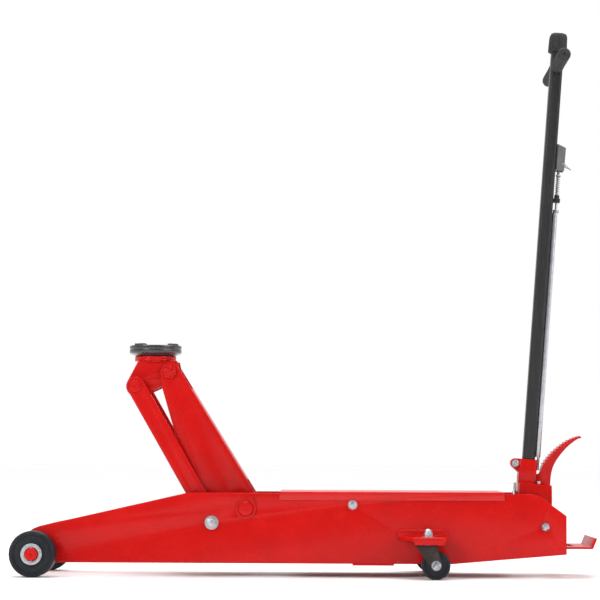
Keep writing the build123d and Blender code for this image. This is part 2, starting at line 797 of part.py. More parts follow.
with BuildPart() as cylinder_tube:
    with BuildSketch(Plane(origin=(TANK_FRONT_X, 0, RAM_Z), x_dir=(0, 1, 0), z_dir=(1, 0, 0))):
        Circle(TANK_R)
        Circle(BARREL_BORE_R, mode=Mode.SUBTRACT)
    extrude(amount=BLOCK_FRONT_X - TANK_FRONT_X)
save(cylinder_tube, "cylinder_tube")

# ======================= pump =======================

BLOCK_MID_Z = (BLOCK_BOTTOM_Z + BLOCK_TOP_Z) / 2
PLUNGER_BORE_END_X = 402.0
EAR_X = 440.0
with BuildPart() as pump_block:
    with BuildSketch(Plane(origin=(BLOCK_FRONT_X, 0, 0), x_dir=(0, 1, 0), z_dir=(1, 0, 0))):
        with Locations((0, BLOCK_MID_Z)):
            RectangleRounded(2 * BLOCK_HALF_Y, BLOCK_TOP_Z - BLOCK_BOTTOM_Z, 10)
    extrude(amount=BLOCK_REAR_X - BLOCK_FRONT_X)
    # ears that bolt the block between the side plates
    with BuildSketch(side_plane(PLATE_INNER)):
        with Locations((EAR_X, BLOCK_MID_Z)):
            RectangleRounded(50, 44, 6)
    extrude(amount=2 * PLATE_INNER)
    with BuildSketch(Plane(origin=(PLUNGER_BORE_END_X, 0, PLUNGER_Z), x_dir=(0, 1, 0), z_dir=(1, 0, 0))):
        Circle(PLUNGER_R + RUN)
    extrude(amount=BLOCK_REAR_X - PLUNGER_BORE_END_X, mode=Mode.SUBTRACT)
save(pump_block, "pump_block")

# filler plug, overload screw cap and the release valve's stem on top of the block
STEM_X = 514.0
with BuildPart() as valve_and_plugs:
    for x, y, bottom, top, radius in (
        (420, 34, BLOCK_TOP_Z, BLOCK_TOP_Z + 12, 11),
        (470, -36, BLOCK_TOP_Z, BLOCK_TOP_Z + 8, 8),
        (498, 0, BLOCK_TOP_Z, BLOCK_TOP_Z + 20, 6),
    ):
        with BuildSketch(Plane.XY.offset(bottom)):
            with Locations((x, y)):
                RegularPolygon(radius, 6)
        extrude(amount=top - bottom)
    # bell crank arm and the stem that stands up through the gap behind the cover
    with BuildSketch(Plane.XY.offset(BLOCK_TOP_Z + 20)):
        with Locations((498, 0)):
            Circle(9)
        with Locations((STEM_X, 0)):
            Circle(6)
        make_hull()
    extrude(amount=6)
    for bottom, top, radius in ((BLOCK_TOP_Z + 26, 206, 5.5), (206, 227, 3)):
        with BuildSketch(Plane.XY.offset(bottom)):
            with Locations((STEM_X, 0)):
                Circle(radius)
        extrude(amount=top - bottom)
save(valve_and_plugs, "valve_and_plugs")

with BuildPart() as pump_plunger:
    for start, end, radius in (
        (440, PLUNGER_FACE_X, PLUNGER_R),
        (PLUNGER_FACE_X - PLUNGER_HEAD_T, PLUNGER_FACE_X, PLUNGER_HEAD_R),
    ):
        with BuildSketch(Plane(origin=(start, 0, PLUNGER_Z), x_dir=(0, 1, 0), z_dir=(1, 0, 0))):
            Circle(radius)
        extrude(amount=end - start)
save(pump_plunger, "pump_plunger")

PUMP_SPRING_R = 11.8
PUMP_SPRING_WIRE = 1.3
PUMP_SPRING_TURNS = 5
with BuildPart() as plunger_spring:
    free = PLUNGER_FACE_X - PLUNGER_HEAD_T - BLOCK_REAR_X - 2 * PUMP_SPRING_WIRE - 0.4
    with BuildLine():
        coil = Helix(
            pitch=free / PUMP_SPRING_TURNS,
            height=free,
            radius=PUMP_SPRING_R,
            center=(BLOCK_REAR_X + PUMP_SPRING_WIRE + 0.2, 0, PLUNGER_Z),
            direction=(1, 0, 0),
        )
    with BuildSketch(Plane(origin=coil @ 0, z_dir=coil % 0)):
        Circle(PUMP_SPRING_WIRE)
    sweep()
save(plunger_spring, "plunger_spring")

# ======================= yoke =======================

# the pivot bolt: a washer and a round nut outside each side plate
with BuildPart() as yoke_pivot_bolt:
    for side, sign in SIDES:
        for radius, inner, outer in (
            (YOKE_BOLT_R, 0, PLATE_OUTER),
            (13, PLATE_OUTER, PLATE_OUTER + 2),
            (10, PLATE_OUTER + 2, PLATE_OUTER + 9),
        ):
            plane, thickness = layer(sign, inner, outer)
            with BuildSketch(plane):
                with Locations(YOKE):
                    Circle(radius)
            extrude(amount=thickness)
save(yoke_pivot_bolt, "yoke_pivot_bolt")

# the yoke's pivot seen from the handle's foot, in the handle's x and s
yoke_dx, yoke_dz = YOKE_X - SOCKET_X, YOKE_Z - SOCKET_Z
YOKE_XS = (
    yoke_dx * math.cos(LEAN) - yoke_dz * math.sin(LEAN),
    yoke_dx * math.sin(LEAN) + yoke_dz * math.cos(LEAN),
)
CHEEK_FRONT = -21.5
CHEEK_REAR = 57.0
CHEEK_DEPTH = 36.0
BLOCK_REAR = 28.0
# yoke: two cheeks that turn on the pivot bolt, joined by the block on which the socket stands
with BuildPart() as yoke:
    for side, sign in SIDES:
        plane, thickness = handle_layer(sign, YOKE_INNER, YOKE_OUTER)
        with BuildSketch(plane):
            with Locations(YOKE_XS):
                Circle(24)
            with Locations(((CHEEK_FRONT + CHEEK_REAR) / 2, -CHEEK_DEPTH / 2)):
                Rectangle(CHEEK_REAR - CHEEK_FRONT, CHEEK_DEPTH)
            make_hull()
            with Locations(YOKE_XS):
                Circle(YOKE_BOLT_R + RUN, mode=Mode.SUBTRACT)
        extrude(amount=thickness)
    with BuildSketch(handle_plane(YOKE_INNER)):
        with Locations(((CHEEK_FRONT + BLOCK_REAR) / 2, -CHEEK_DEPTH / 2)):
            Rectangle(BLOCK_REAR - CHEEK_FRONT, CHEEK_DEPTH)
    extrude(amount=2 * YOKE_INNER)
save(yoke, "yoke")


def cam_point(turn):
    """The involute's point that meets the plunger when the yoke has turned this far, in radians."""
    reach = CAM_START - GAP + CAM_BASE_R * turn
    return (
        YOKE_X - reach * math.cos(turn) + CAM_BASE_R * math.sin(turn),
        YOKE_Z - reach * math.sin(turn) - CAM_BASE_R * math.cos(turn),
    )


# involute cam on a hub between the cheeks
CAM_HUB_R = 17.0
CAM_FIRST = math.radians(-12)
CAM_LAST = math.radians(79)
CAM_STEPS = 7
with BuildPart() as pump_cam:
    with BuildSketch(side_plane(CAM_HALF_Y)):
        with BuildLine():
            turns = [CAM_FIRST + i * (CAM_LAST - CAM_FIRST) / CAM_STEPS for i in range(CAM_STEPS + 1)]
            Spline(*(cam_point(turn) for turn in turns))
            Polyline(cam_point(CAM_LAST), (YOKE_X + 17, YOKE_Z - 12), (YOKE_X, YOKE_Z + 14), cam_point(CAM_FIRST))
        make_face()
        with Locations(YOKE):
            Circle(CAM_HUB_R - 3, mode=Mode.SUBTRACT)
    extrude(amount=2 * CAM_HALF_Y)
    with BuildSketch(side_plane(YOKE_INNER)):
        with Locations(YOKE):
            Circle(CAM_HUB_R)
            Circle(YOKE_BOLT_R + RUN, mode=Mode.SUBTRACT)
    extrude(amount=2 * YOKE_INNER)
save(pump_cam, "pump_cam")

# ======================= foot pedal =======================

TREAD_LINE = ((577, 256), (586, 276), (603, 297), (623, 315), (646, 330), (673, 339.5))
HORN_REAR = ((672, 336), (647, 318), (625, 294), (609, 268), (602, 240), (601, 212), (603, 183))
WEB_HALF_Y = 7.0
TREAD_HALF_Y = 28.0
TREAD_T = 4.0
RIDGE_COUNT = 13
# the web's front edge in the handle's x and s: up the yoke's block, then the socket, clear of the rod
WEB_FRONT = ((BLOCK_REAR, -36.0), (BLOCK_REAR, 0.0), (SOCKET_REAR, 0.0), (SOCKET_REAR, 24.0), (27.6, 26.2))
with BuildPart() as foot_pedal:
    # upright web, concave behind, welded to the yoke's block and the socket
    with BuildSketch(side_plane(WEB_HALF_Y)):
        with BuildLine():
            Spline(*TREAD_LINE)
            Line(TREAD_LINE[-1], HORN_REAR[0])
            Spline(*HORN_REAR)
            front = [HANDLE.from_local_coords((x, 0, s_up)) for x, s_up in WEB_FRONT]
            Polyline(HORN_REAR[-1], *((point.X, point.Z) for point in front), TREAD_LINE[0])
        make_face()
    extrude(amount=2 * WEB_HALF_Y)
    # tread bent along the web's front edge
    with BuildSketch(side_plane(TREAD_HALF_Y)):
        with BuildLine():
            tread = Spline(*TREAD_LINE)
            under = Spline(*((x + TREAD_T * 0.75, z - TREAD_T * 0.75) for x, z in TREAD_LINE))
            Line(tread @ 1, under @ 1)
            Line(tread @ 0, under @ 0)
        make_face()
    extrude(amount=2 * TREAD_HALF_Y)
    # cross ridges for grip
    for i in range(RIDGE_COUNT):
        place = 0.14 + 0.84 * i / (RIDGE_COUNT - 1)
        point, along = tread @ place, tread % place
        ridge_plane = Plane(
            origin=(point.X, TREAD_HALF_Y, point.Y), x_dir=(along.X, 0, along.Y), z_dir=(0, -1, 0)
        )
        with BuildSketch(ridge_plane):
            Polygon((-2.6, -0.8), (2.6, -0.8), (1.0, 2.4), (-1.0, 2.4), align=None)
        extrude(amount=2 * TREAD_HALF_Y)
save(foot_pedal, "foot_pedal")

# ======================= handle =======================

CLAMP_XS = (-32.0, 47.0)
CLAMP_BOLT_R = 5.0
EAR_HALF_Y = 13.0
with BuildPart() as handle_socket:
    with BuildSketch(HANDLE):
        with Locations(((SOCKET_FRONT + SOCKET_REAR) / 2, 0)):
            RectangleRounded(SOCKET_REAR - SOCKET_FRONT, 2 * SOCKET_HALF_Y, 5)
    extrude(amount=SOCKET_LENGTH)
    # clamp ears at the front
    with BuildSketch(handle_plane(EAR_HALF_Y)):
        with Locations(CLAMP_XS):
            Circle(12)
        with Locations((SOCKET_FRONT + 2, 42)):
            Rectangle(4, 34)
        make_hull()
    extrude(amount=2 * EAR_HALF_Y)
    with BuildSketch(HANDLE.offset(TUBE_START)):
        RectangleRounded(TUBE_X, TUBE_Y, TUBE_CORNER)
    extrude(amount=SOCKET_LENGTH - TUBE_START + 1, mode=Mode.SUBTRACT)
    # slit between the ears, and the bolt's hole through them
    with BuildSketch(HANDLE.offset(TUBE_START)):
        with Locations((SOCKET_FRONT - 6, 0)):
            Rectangle(34, 3)
    extrude(amount=SOCKET_LENGTH, mode=Mode.SUBTRACT)
    with BuildSketch(handle_plane(EAR_HALF_Y)):
        with Locations(CLAMP_XS):
            Circle(CLAMP_BOLT_R)
    extrude(amount=2 * EAR_HALF_Y, mode=Mode.SUBTRACT)
save(handle_socket, "handle_socket")

# clamp bolt with head and nut, and the small pins of the release crank on the cheeks
with BuildPart() as socket_bolts:
    for start, length, radius, sides in (
        (EAR_HALF_Y, 2 * EAR_HALF_Y, CLAMP_BOLT_R, 0),
        (EAR_HALF_Y + 6.5, 6.5, 8.4, 6),
        (-EAR_HALF_Y, 6.5, 8.4, 6),
    ):
        with BuildSketch(handle_plane(start)):
            with Locations(CLAMP_XS):
                if sides:
                    RegularPolygon(radius, sides)
                else:
                    Circle(radius)
        extrude(amount=length)
    for side, sign in SIDES:
        plane, thickness = handle_layer(sign, SOCKET_HALF_Y - 8, YOKE_OUTER - 6)
        with BuildSketch(plane):
            with Locations((26.5, 5)):
                Circle(4.5)
        extrude(amount=thickness)
save(socket_bolts, "socket_bolts")

with BuildPart() as handle_tube:
    with BuildSketch(HANDLE.offset(TUBE_START)):
        RectangleRounded(TUBE_X, TUBE_Y, TUBE_CORNER)
        RectangleRounded(
            TUBE_X - 2 * TUBE_WALL, TUBE_Y - 2 * TUBE_WALL, TUBE_CORNER - TUBE_WALL, mode=Mode.SUBTRACT
        )
    extrude(amount=TUBE_TOP - TUBE_START)
    with BuildSketch(handle_plane(TUBE_Y)):
        with Locations((0, CROSS_BAR_S)):
            Circle(CROSS_BAR_R)
    extrude(amount=2 * TUBE_Y, mode=Mode.SUBTRACT)
save(handle_tube, "handle_tube")

GRIP_END_T = 4.0
with BuildPart() as cross_bar:
    with BuildSketch(handle_plane(GRIP_OUTER - GRIP_END_T)):
        with Locations((0, CROSS_BAR_S)):
            Circle(CROSS_BAR_R)
    extrude(amount=2 * (GRIP_OUTER - GRIP_END_T))
save(cross_bar, "cross_bar")

with BuildPart() as handle_grips:
    for side, sign in SIDES:
        plane, thickness = handle_layer(sign, GRIP_INNER, GRIP_OUTER)
        with BuildSketch(plane):
            with Locations((0, CROSS_BAR_S)):
                Circle(GRIP_R)
        extrude(amount=thickness)
    fillet(handle_grips.edges().filter_by(GeomType.CIRCLE), radius=3)
    for side, sign in SIDES:
        plane, thickness = handle_layer(sign, GRIP_INNER, GRIP_OUTER - GRIP_END_T)
        with BuildSketch(plane):
            with Locations((0, CROSS_BAR_S)):
                Circle(CROSS_BAR_R)
        extrude(amount=thickness, mode=Mode.SUBTRACT)
save(handle_grips, "handle_grips")

# rubber cap over the top of the tube
with BuildPart() as end_knob:
    with BuildSketch(HANDLE.offset(KNOB_BOTTOM)):
        RectangleRounded(45, 47, 15)
    extrude(amount=KNOB_TOP - KNOB_BOTTOM, taper=2.5)
    fillet(end_knob.faces().sort_by(HANDLE_AXIS)[-1].edges(), radius=7)
    with BuildSketch(HANDLE.offset(KNOB_BOTTOM)):
        RectangleRounded(TUBE_X, TUBE_Y, TUBE_CORNER)
    extrude(amount=TUBE_TOP - KNOB_BOTTOM, mode=Mode.SUBTRACT)
save(end_knob, "end_knob")

# ======================= release linkage =======================

TUBE_REAR = TUBE_X / 2
HOUSING_REAR = 37.0
HOUSING_BOTTOM = 776.0
HOUSING_TOP = 843.0
HOUSING_HALF_Y = 15.0
HOUSING_WALL = 3.0
PIVOT_PIN_R = 2.0
with BuildPart() as lever_housing:
    with BuildSketch(handle_plane(HOUSING_HALF_Y)):
        Polygon(
            (TUBE_REAR, HOUSING_BOTTOM),
            (HOUSING_REAR - 1, HOUSING_BOTTOM),
            (HOUSING_REAR, HOUSING_TOP - 9),
            (TUBE_REAR, HOUSING_TOP),
            align=None,
        )
    extrude(amount=2 * HOUSING_HALF_Y)
    with BuildSketch(handle_plane(HOUSING_HALF_Y - HOUSING_WALL)):
        with Locations(((TUBE_REAR + HOUSING_REAR) / 2, (HOUSING_BOTTOM + HOUSING_TOP) / 2 - 7)):
            Rectangle(HOUSING_REAR - TUBE_REAR - 2 * HOUSING_WALL, HOUSING_TOP - HOUSING_BOTTOM - 10)
    extrude(amount=2 * (HOUSING_HALF_Y - HOUSING_WALL), mode=Mode.SUBTRACT)
    # the lever's slot in the rear wall
    with BuildSketch(handle_plane(5)):
        with Locations((HOUSING_REAR, HOUSING_BOTTOM + 14)):
            Rectangle(14, 34)
    extrude(amount=10, mode=Mode.SUBTRACT)
    with BuildSketch(handle_plane(HOUSING_HALF_Y)):
        with Locations((LEVER_X, LEVER_S)):
            Circle(PIVOT_PIN_R + RUN)
    extrude(amount=2 * HOUSING_HALF_Y, mode=Mode.SUBTRACT)
save(lever_housing, "lever_housing")

# trigger: a nose over the rod's end, a finger bar behind, turning on a cross pin
LEVER_HALF_Y = 4.0
with BuildPart() as release_lever:
    for first, second in (
        (((LEVER_X, LEVER_S), NOSE_R), ((ROD_X, LEVER_S), NOSE_R)),
        (((LEVER_X, LEVER_S), 4.0), ((52.3, 783.3), 2.2)),
    ):
        with BuildSketch(handle_plane(LEVER_HALF_Y)):
            for centre, radius in (first, second):
                with Locations(centre):
                    Circle(radius)
            make_hull()
        extrude(amount=2 * LEVER_HALF_Y)
    with BuildSketch(handle_plane(HOUSING_HALF_Y)):
        with Locations((LEVER_X, LEVER_S)):
            Circle(PIVOT_PIN_R)
    extrude(amount=2 * HOUSING_HALF_Y)
save(release_lever, "release_lever")

# rod with its sleeve, stop nut, spring seat and top collar
with BuildPart() as release_rod:
    for bottom, top, radius in (
        (ROD_BOTTOM, ROD_TOP, ROD_R),
        (SPRING_TOP, SPRING_TOP + 2, SEAT_R),
        (SPRING_TOP + 2, COLLAR_TOP_S, ROD_R + 0.8),
    ):
        with BuildSketch(HANDLE.offset(bottom)):
            with Locations((ROD_X, 0)):
                Circle(radius)
        extrude(amount=top - bottom)
    with BuildSketch(HANDLE.offset(SLEEVE_BOTTOM)):
        with Locations(((SLEEVE_FRONT + SLEEVE_REAR) / 2, 0)):
            RectangleRounded(SLEEVE_REAR - SLEEVE_FRONT, SLEEVE_Y, 5)
    extrude(amount=SLEEVE_TOP - SLEEVE_BOTTOM)
    with BuildSketch(HANDLE.offset(SLEEVE_TOP)):
        with Locations((ROD_X, 0)):
            RegularPolygon(7.2, 6)
    extrude(amount=8)
save(release_rod, "release_rod")

# guide welded to the tube, with the bush that the spring stands on
with BuildPart() as rod_guide:
    with BuildSketch(HANDLE.offset(GUIDE_BOTTOM)):
        with Locations((TUBE_REAR, 0)):
            Rectangle(17, 14, align=(Align.MIN, Align.CENTER))
        with Locations((ROD_X, 0)):
            Circle(ROD_R + RUN, mode=Mode.SUBTRACT)
    extrude(amount=10)
    with BuildSketch(HANDLE.offset(GUIDE_BOTTOM + 10)):
        with Locations((ROD_X, 0)):
            Circle(SEAT_R)
            Circle(ROD_R + RUN, mode=Mode.SUBTRACT)
    extrude(amount=SPRING_BOTTOM - GUIDE_BOTTOM - 10)
save(rod_guide, "rod_guide")

ROD_SPRING_R = 4.9
ROD_SPRING_WIRE = 0.8
ROD_SPRING_TURNS = 8
with BuildPart() as release_spring:
    free = SPRING_TOP - SPRING_BOTTOM - 2 * ROD_SPRING_WIRE - 0.4
    with BuildLine():
        coil = Helix(
            pitch=free / ROD_SPRING_TURNS,
            height=free,
            radius=ROD_SPRING_R,
            center=HANDLE.from_local_coords((ROD_X, 0, SPRING_BOTTOM + ROD_SPRING_WIRE + 0.2)),
            direction=HANDLE.z_dir,
        )
    with BuildSketch(Plane(origin=coil @ 0, z_dir=coil % 0)):
        Circle(ROD_SPRING_WIRE)
    sweep()
save(release_spring, "release_spring")
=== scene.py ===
"""The looks of a long-chassis hydraulic service jack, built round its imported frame.

The frame gives every body, its place and its size. This script dresses each of its parts: plates are
copied and their edges rounded over, turned and threaded parts are modelled afresh, weld beads and
small fittings are added, and each finish is a procedural material. Sizes are in millimetres in the
classes and in metres in the meshes.
"""

import json
import logging
import math
from dataclasses import dataclass, field
from enum import Enum
from typing import Callable, Sequence

import bmesh
import bpy
from mathutils import Matrix, Quaternion, Vector

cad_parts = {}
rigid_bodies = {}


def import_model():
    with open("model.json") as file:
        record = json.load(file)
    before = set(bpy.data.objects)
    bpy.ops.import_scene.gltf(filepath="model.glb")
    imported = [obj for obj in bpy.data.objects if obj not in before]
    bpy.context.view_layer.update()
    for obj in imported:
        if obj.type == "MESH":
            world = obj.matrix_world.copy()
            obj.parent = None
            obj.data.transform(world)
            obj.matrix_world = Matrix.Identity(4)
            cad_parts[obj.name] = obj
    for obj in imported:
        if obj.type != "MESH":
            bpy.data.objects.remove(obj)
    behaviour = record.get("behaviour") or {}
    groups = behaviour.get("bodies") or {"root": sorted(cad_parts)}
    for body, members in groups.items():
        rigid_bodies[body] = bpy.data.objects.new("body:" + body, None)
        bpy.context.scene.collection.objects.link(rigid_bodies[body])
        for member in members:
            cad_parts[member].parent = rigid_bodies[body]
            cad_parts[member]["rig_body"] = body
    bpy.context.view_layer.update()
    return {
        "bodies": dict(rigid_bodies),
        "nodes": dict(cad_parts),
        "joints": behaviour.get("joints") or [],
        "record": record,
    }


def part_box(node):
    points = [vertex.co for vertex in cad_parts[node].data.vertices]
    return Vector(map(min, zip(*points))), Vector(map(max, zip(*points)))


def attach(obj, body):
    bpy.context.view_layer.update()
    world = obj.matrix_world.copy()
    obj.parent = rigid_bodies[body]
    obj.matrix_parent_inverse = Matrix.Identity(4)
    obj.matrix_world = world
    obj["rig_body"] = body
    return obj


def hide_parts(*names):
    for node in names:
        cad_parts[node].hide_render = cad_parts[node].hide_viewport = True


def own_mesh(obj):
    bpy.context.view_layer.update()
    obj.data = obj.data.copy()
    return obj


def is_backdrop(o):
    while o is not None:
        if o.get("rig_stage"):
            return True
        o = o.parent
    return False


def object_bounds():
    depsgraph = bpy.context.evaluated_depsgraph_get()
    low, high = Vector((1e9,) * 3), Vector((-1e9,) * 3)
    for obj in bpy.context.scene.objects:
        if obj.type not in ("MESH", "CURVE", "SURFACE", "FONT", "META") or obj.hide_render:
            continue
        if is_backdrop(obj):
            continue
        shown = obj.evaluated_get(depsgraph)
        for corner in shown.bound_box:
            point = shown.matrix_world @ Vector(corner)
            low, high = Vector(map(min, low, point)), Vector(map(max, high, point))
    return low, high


log = logging.getLogger("jack")

MM = 0.001
SIDES = (("left", -1.0), ("right", 1.0))
ALONG = Vector((1.0, 0.0, 0.0))
ACROSS = Vector((0.0, 1.0, 0.0))
UP = Vector((0.0, 0.0, 1.0))

Profile = Sequence[tuple[float, float]]
Colour = tuple[float, float, float]


# ======================= finishes =======================


class Coat(Enum):
    """The finishes, by the name of the record's material slot that each one fills."""

    RED = "red_paint"
    COVER = "cover_paint"
    ZINC = "zinc_hardware"
    STEEL = "bare_steel"
    CHROME = "ram_chrome"
    SPRING = "spring_steel"
    SADDLE = "saddle_black"
    WHEEL = "wheel_black"
    FORK = "fork_black"
    HANDLE = "handle_black"
    HOUSING = "housing_grey"
    RUBBER = "grip_rubber"


class Recipe:
    """A material under construction, with short ways to add and join its nodes."""

    def __init__(self, name: str) -> None:
        """Start a material that holds one Principled shader.

        Args:
            name: the material's name.
        """
        self.material = bpy.data.materials.new(name)
        self.material.use_nodes = True
        self.tree = self.material.node_tree
        self.tree.nodes.clear()
        output = self.tree.nodes.new("ShaderNodeOutputMaterial")
        self.shader = self.tree.nodes.new("ShaderNodeBsdfPrincipled")
        self.tree.links.new(self.shader.outputs["BSDF"], output.inputs["Surface"])
        self.place = self.tree.nodes.new("ShaderNodeTexCoord").outputs["Object"]

    def set(self, **values: float) -> None:
        """Set plain numbers on the shader's own sockets.

        Args:
            values: each socket's name, with underscores for spaces, and its number.
        """
        for name, value in values.items():
            self.shader.inputs[name.replace("_", " ").title().replace("Ior", "IOR")].default_value = value

    def stretched(self, scale: Sequence[float]) -> bpy.types.NodeSocket:
        """Stretch the object's coordinates, for a pattern that runs one way.

        Args:
            scale: the factor along each axis.

        Returns:
            The stretched coordinates.
        """
        node = self.tree.nodes.new("ShaderNodeMapping")
        node.inputs["Scale"].default_value = scale
        self.tree.links.new(self.place, node.inputs["Vector"])
        return node.outputs["Vector"]

    def noise(
        self, scale: float, detail: float = 4.0, rough: float = 0.55, place: bpy.types.NodeSocket | None = None
    ) -> bpy.types.NodeSocket:
        """Add a noise pattern.

        Args:
            scale: its repeats for each metre.
            detail: how many finer octaves it has.
            rough: how strong the finer octaves are.
            place: the coordinates it reads, or None for the object's own.

        Returns:
            Its value, from 0 to 1.
        """
        node = self.tree.nodes.new("ShaderNodeTexNoise")
        node.inputs["Scale"].default_value = scale
        node.inputs["Detail"].default_value = detail
        node.inputs["Roughness"].default_value = rough
        self.tree.links.new(place or self.place, node.inputs["Vector"])
        return node.outputs["Fac"]

    def pits(self, scale: float) -> bpy.types.NodeSocket:
        """Add a pattern of round cells, whose value is lowest at each cell's middle.

        Args:
            scale: the cells for each metre.

        Returns:
            The distance from the cell's middle.
        """
        node = self.tree.nodes.new("ShaderNodeTexVoronoi")
        node.inputs["Scale"].default_value = scale
        self.tree.links.new(self.place, node.inputs["Vector"])
        return node.outputs["Distance"]

    def spread(
        self, value: bpy.types.NodeSocket, low: float, high: float, to_low: float = 0.0, to_high: float = 1.0
    ) -> bpy.types.NodeSocket:
        """Map a range of values to another, held at both ends.

        Args:
            value: the value to map.
            low: what becomes to_low.
            high: what becomes to_high.
            to_low: the result at and beyond low.
            to_high: the result at and beyond high.

        Returns:
            The mapped value.
        """
        node = self.tree.nodes.new("ShaderNodeMapRange")
        for name, number in (("From Min", low), ("From Max", high), ("To Min", to_low), ("To Max", to_high)):
            node.inputs[name].default_value = number
        self.tree.links.new(value, node.inputs["Value"])
        return node.outputs["Result"]

    def times(self, first: bpy.types.NodeSocket, second: bpy.types.NodeSocket) -> bpy.types.NodeSocket:
        """Multiply two values.

        Args:
            first: one value.
            second: the other.

        Returns:
            Their product.
        """
        node = self.tree.nodes.new("ShaderNodeMath")
        node.operation = "MULTIPLY"
        self.tree.links.new(first, node.inputs[0])
        self.tree.links.new(second, node.inputs[1])
        return node.outputs[0]

    def mix(
        self, share: bpy.types.NodeSocket, first: Colour | bpy.types.NodeSocket, second: Colour
    ) -> bpy.types.NodeSocket:
        """Mix two colours.

        Args:
            share: how much there is of the second.
            first: a plain colour or an earlier mix.
            second: a plain colour.

        Returns:
            The mixed colour.
        """
        node = self.tree.nodes.new("ShaderNodeMix")
        node.data_type = "RGBA"
        self.tree.links.new(share, node.inputs["Factor"])
        if isinstance(first, tuple):
            node.inputs[6].default_value = (*first, 1.0)
        else:
            self.tree.links.new(first, node.inputs[6])
        node.inputs[7].default_value = (*second, 1.0)
        return node.outputs[2]

    def edges(self, reach: float) -> bpy.types.NodeSocket:
        """Find the sharp edges, where a finish wears first.

        Args:
            reach: how far the worn strip spreads from an edge, in metres.

        Returns:
            0 on flat stretches, rising to 1 on edges.
        """
        bevel = self.tree.nodes.new("ShaderNodeBevel")
        bevel.samples = 4
        bevel.inputs["Radius"].default_value = reach
        geometry = self.tree.nodes.new("ShaderNodeNewGeometry")
        dot = self.tree.nodes.new("ShaderNodeVectorMath")
        dot.operation = "DOT_PRODUCT"
        self.tree.links.new(bevel.outputs["Normal"], dot.inputs[0])
        self.tree.links.new(geometry.outputs["Normal"], dot.inputs[1])
        return self.spread(dot.outputs["Value"], 0.995, 0.9)

    def dress(
        self,
        colour: bpy.types.NodeSocket,
        roughness: bpy.types.NodeSocket,
        heights: Sequence[tuple[bpy.types.NodeSocket, float, float]],
    ) -> bpy.types.Material:
        """Join the colour, the roughness and a chain of bumps to the shader.

        Args:
            colour: the surface's colour.
            roughness: its roughness.
            heights: for each layer of relief, its value, strength and height in metres.

        Returns:
            The finished material.
        """
        self.tree.links.new(colour, self.shader.inputs["Base Color"])
        self.tree.links.new(roughness, self.shader.inputs["Roughness"])
        normal = None
        for value, strength, height in heights:
            bump = self.tree.nodes.new("ShaderNodeBump")
            bump.inputs["Strength"].default_value = strength
            bump.inputs["Distance"].default_value = height
            self.tree.links.new(value, bump.inputs["Height"])
            if normal is not None:
                self.tree.links.new(normal, bump.inputs["Normal"])
            normal = bump.outputs["Normal"]
        self.tree.links.new(normal, self.shader.inputs["Normal"])
        return self.material


@dataclass(frozen=True)
class Enamel:
    """Glossy sprayed paint with orange peel, and small chips down to primer along the edges."""

    name: str
    colour: Colour
    deep: Colour
    primer: Colour = (0.16, 0.05, 0.045)
    smooth: float = 0.2
    dull: float = 0.32
    chip_start: float = 0.66
    gloss: float = 0.15
    coat: float = 0.04

    def material(self) -> bpy.types.Material:
        """Build the enamel.

        Returns:
            Its material.
        """
        recipe = Recipe(self.name)
        recipe.set(specular_ior_level=self.gloss, coat_weight=self.coat, coat_roughness=0.07)
        patches = recipe.noise(9.0, 5.0, 0.6)
        peel = recipe.noise(310.0, 2.0, 0.45)
        grit = recipe.noise(640.0, 4.0, 0.65)
        chips = recipe.times(
            recipe.edges(0.0014), recipe.spread(grit, self.chip_start - 0.06, self.chip_start + 0.03)
        )
        tone = recipe.mix(recipe.spread(patches, 0.35, 0.68), self.colour, self.deep)
        return recipe.dress(
            recipe.mix(chips, tone, self.primer),
            recipe.spread(recipe.noise(26.0, 6.0, 0.65), 0.3, 0.72, self.smooth, self.dull),
            ((peel, 0.22, 0.00009), (chips, 0.5, -0.00008)),
        )


@dataclass(frozen=True)
class Plating:
    """Zinc or chrome plate: bright metal with faint clouds, wipe marks and fine grain."""

    name: str
    colour: Colour
    cloud: Colour
    smooth: float
    dull: float
    grain: float = 1500.0
    relief: float = 0.00002

    def material(self) -> bpy.types.Material:
        """Build the plating.

        Returns:
            Its material.
        """
        recipe = Recipe(self.name)
        recipe.set(metallic=1.0)
        clouds = recipe.noise(120.0, 5.0, 0.6)
        fine = recipe.noise(self.grain, 3.0, 0.6)
        wiped = recipe.noise(90.0, 4.0, 0.7, recipe.stretched((1.0, 9.0, 2.0)))
        tone = recipe.mix(recipe.spread(clouds, 0.38, 0.66), self.colour, self.cloud)
        return recipe.dress(
            tone,
            recipe.spread(wiped, 0.3, 0.7, self.smooth, self.dull),
            ((fine, 0.35, self.relief), (clouds, 0.2, 0.00002)),
        )


@dataclass(frozen=True)
class MachinedSteel:
    """Oiled steel with the tool's fine marks and a few darker stains."""

    name: str
    colour: Colour = (0.42, 0.41, 0.4)
    stain: Colour = (0.17, 0.15, 0.13)
    smooth: float = 0.26
    dull: float = 0.46

    def material(self) -> bpy.types.Material:
        """Build the steel.

        Returns:
            Its material.
        """
        recipe = Recipe(self.name)
        recipe.set(metallic=1.0)
        marks = recipe.noise(240.0, 3.0, 0.7, recipe.stretched((6.0, 0.6, 6.0)))
        stains = recipe.spread(recipe.noise(60.0, 6.0, 0.65), 0.5, 0.7)
        return recipe.dress(
            recipe.mix(stains, self.colour, self.stain),
            recipe.spread(marks, 0.3, 0.7, self.smooth, self.dull),
            ((marks, 0.3, 0.00004), (recipe.noise(900.0), 0.2, 0.00002)),
        )


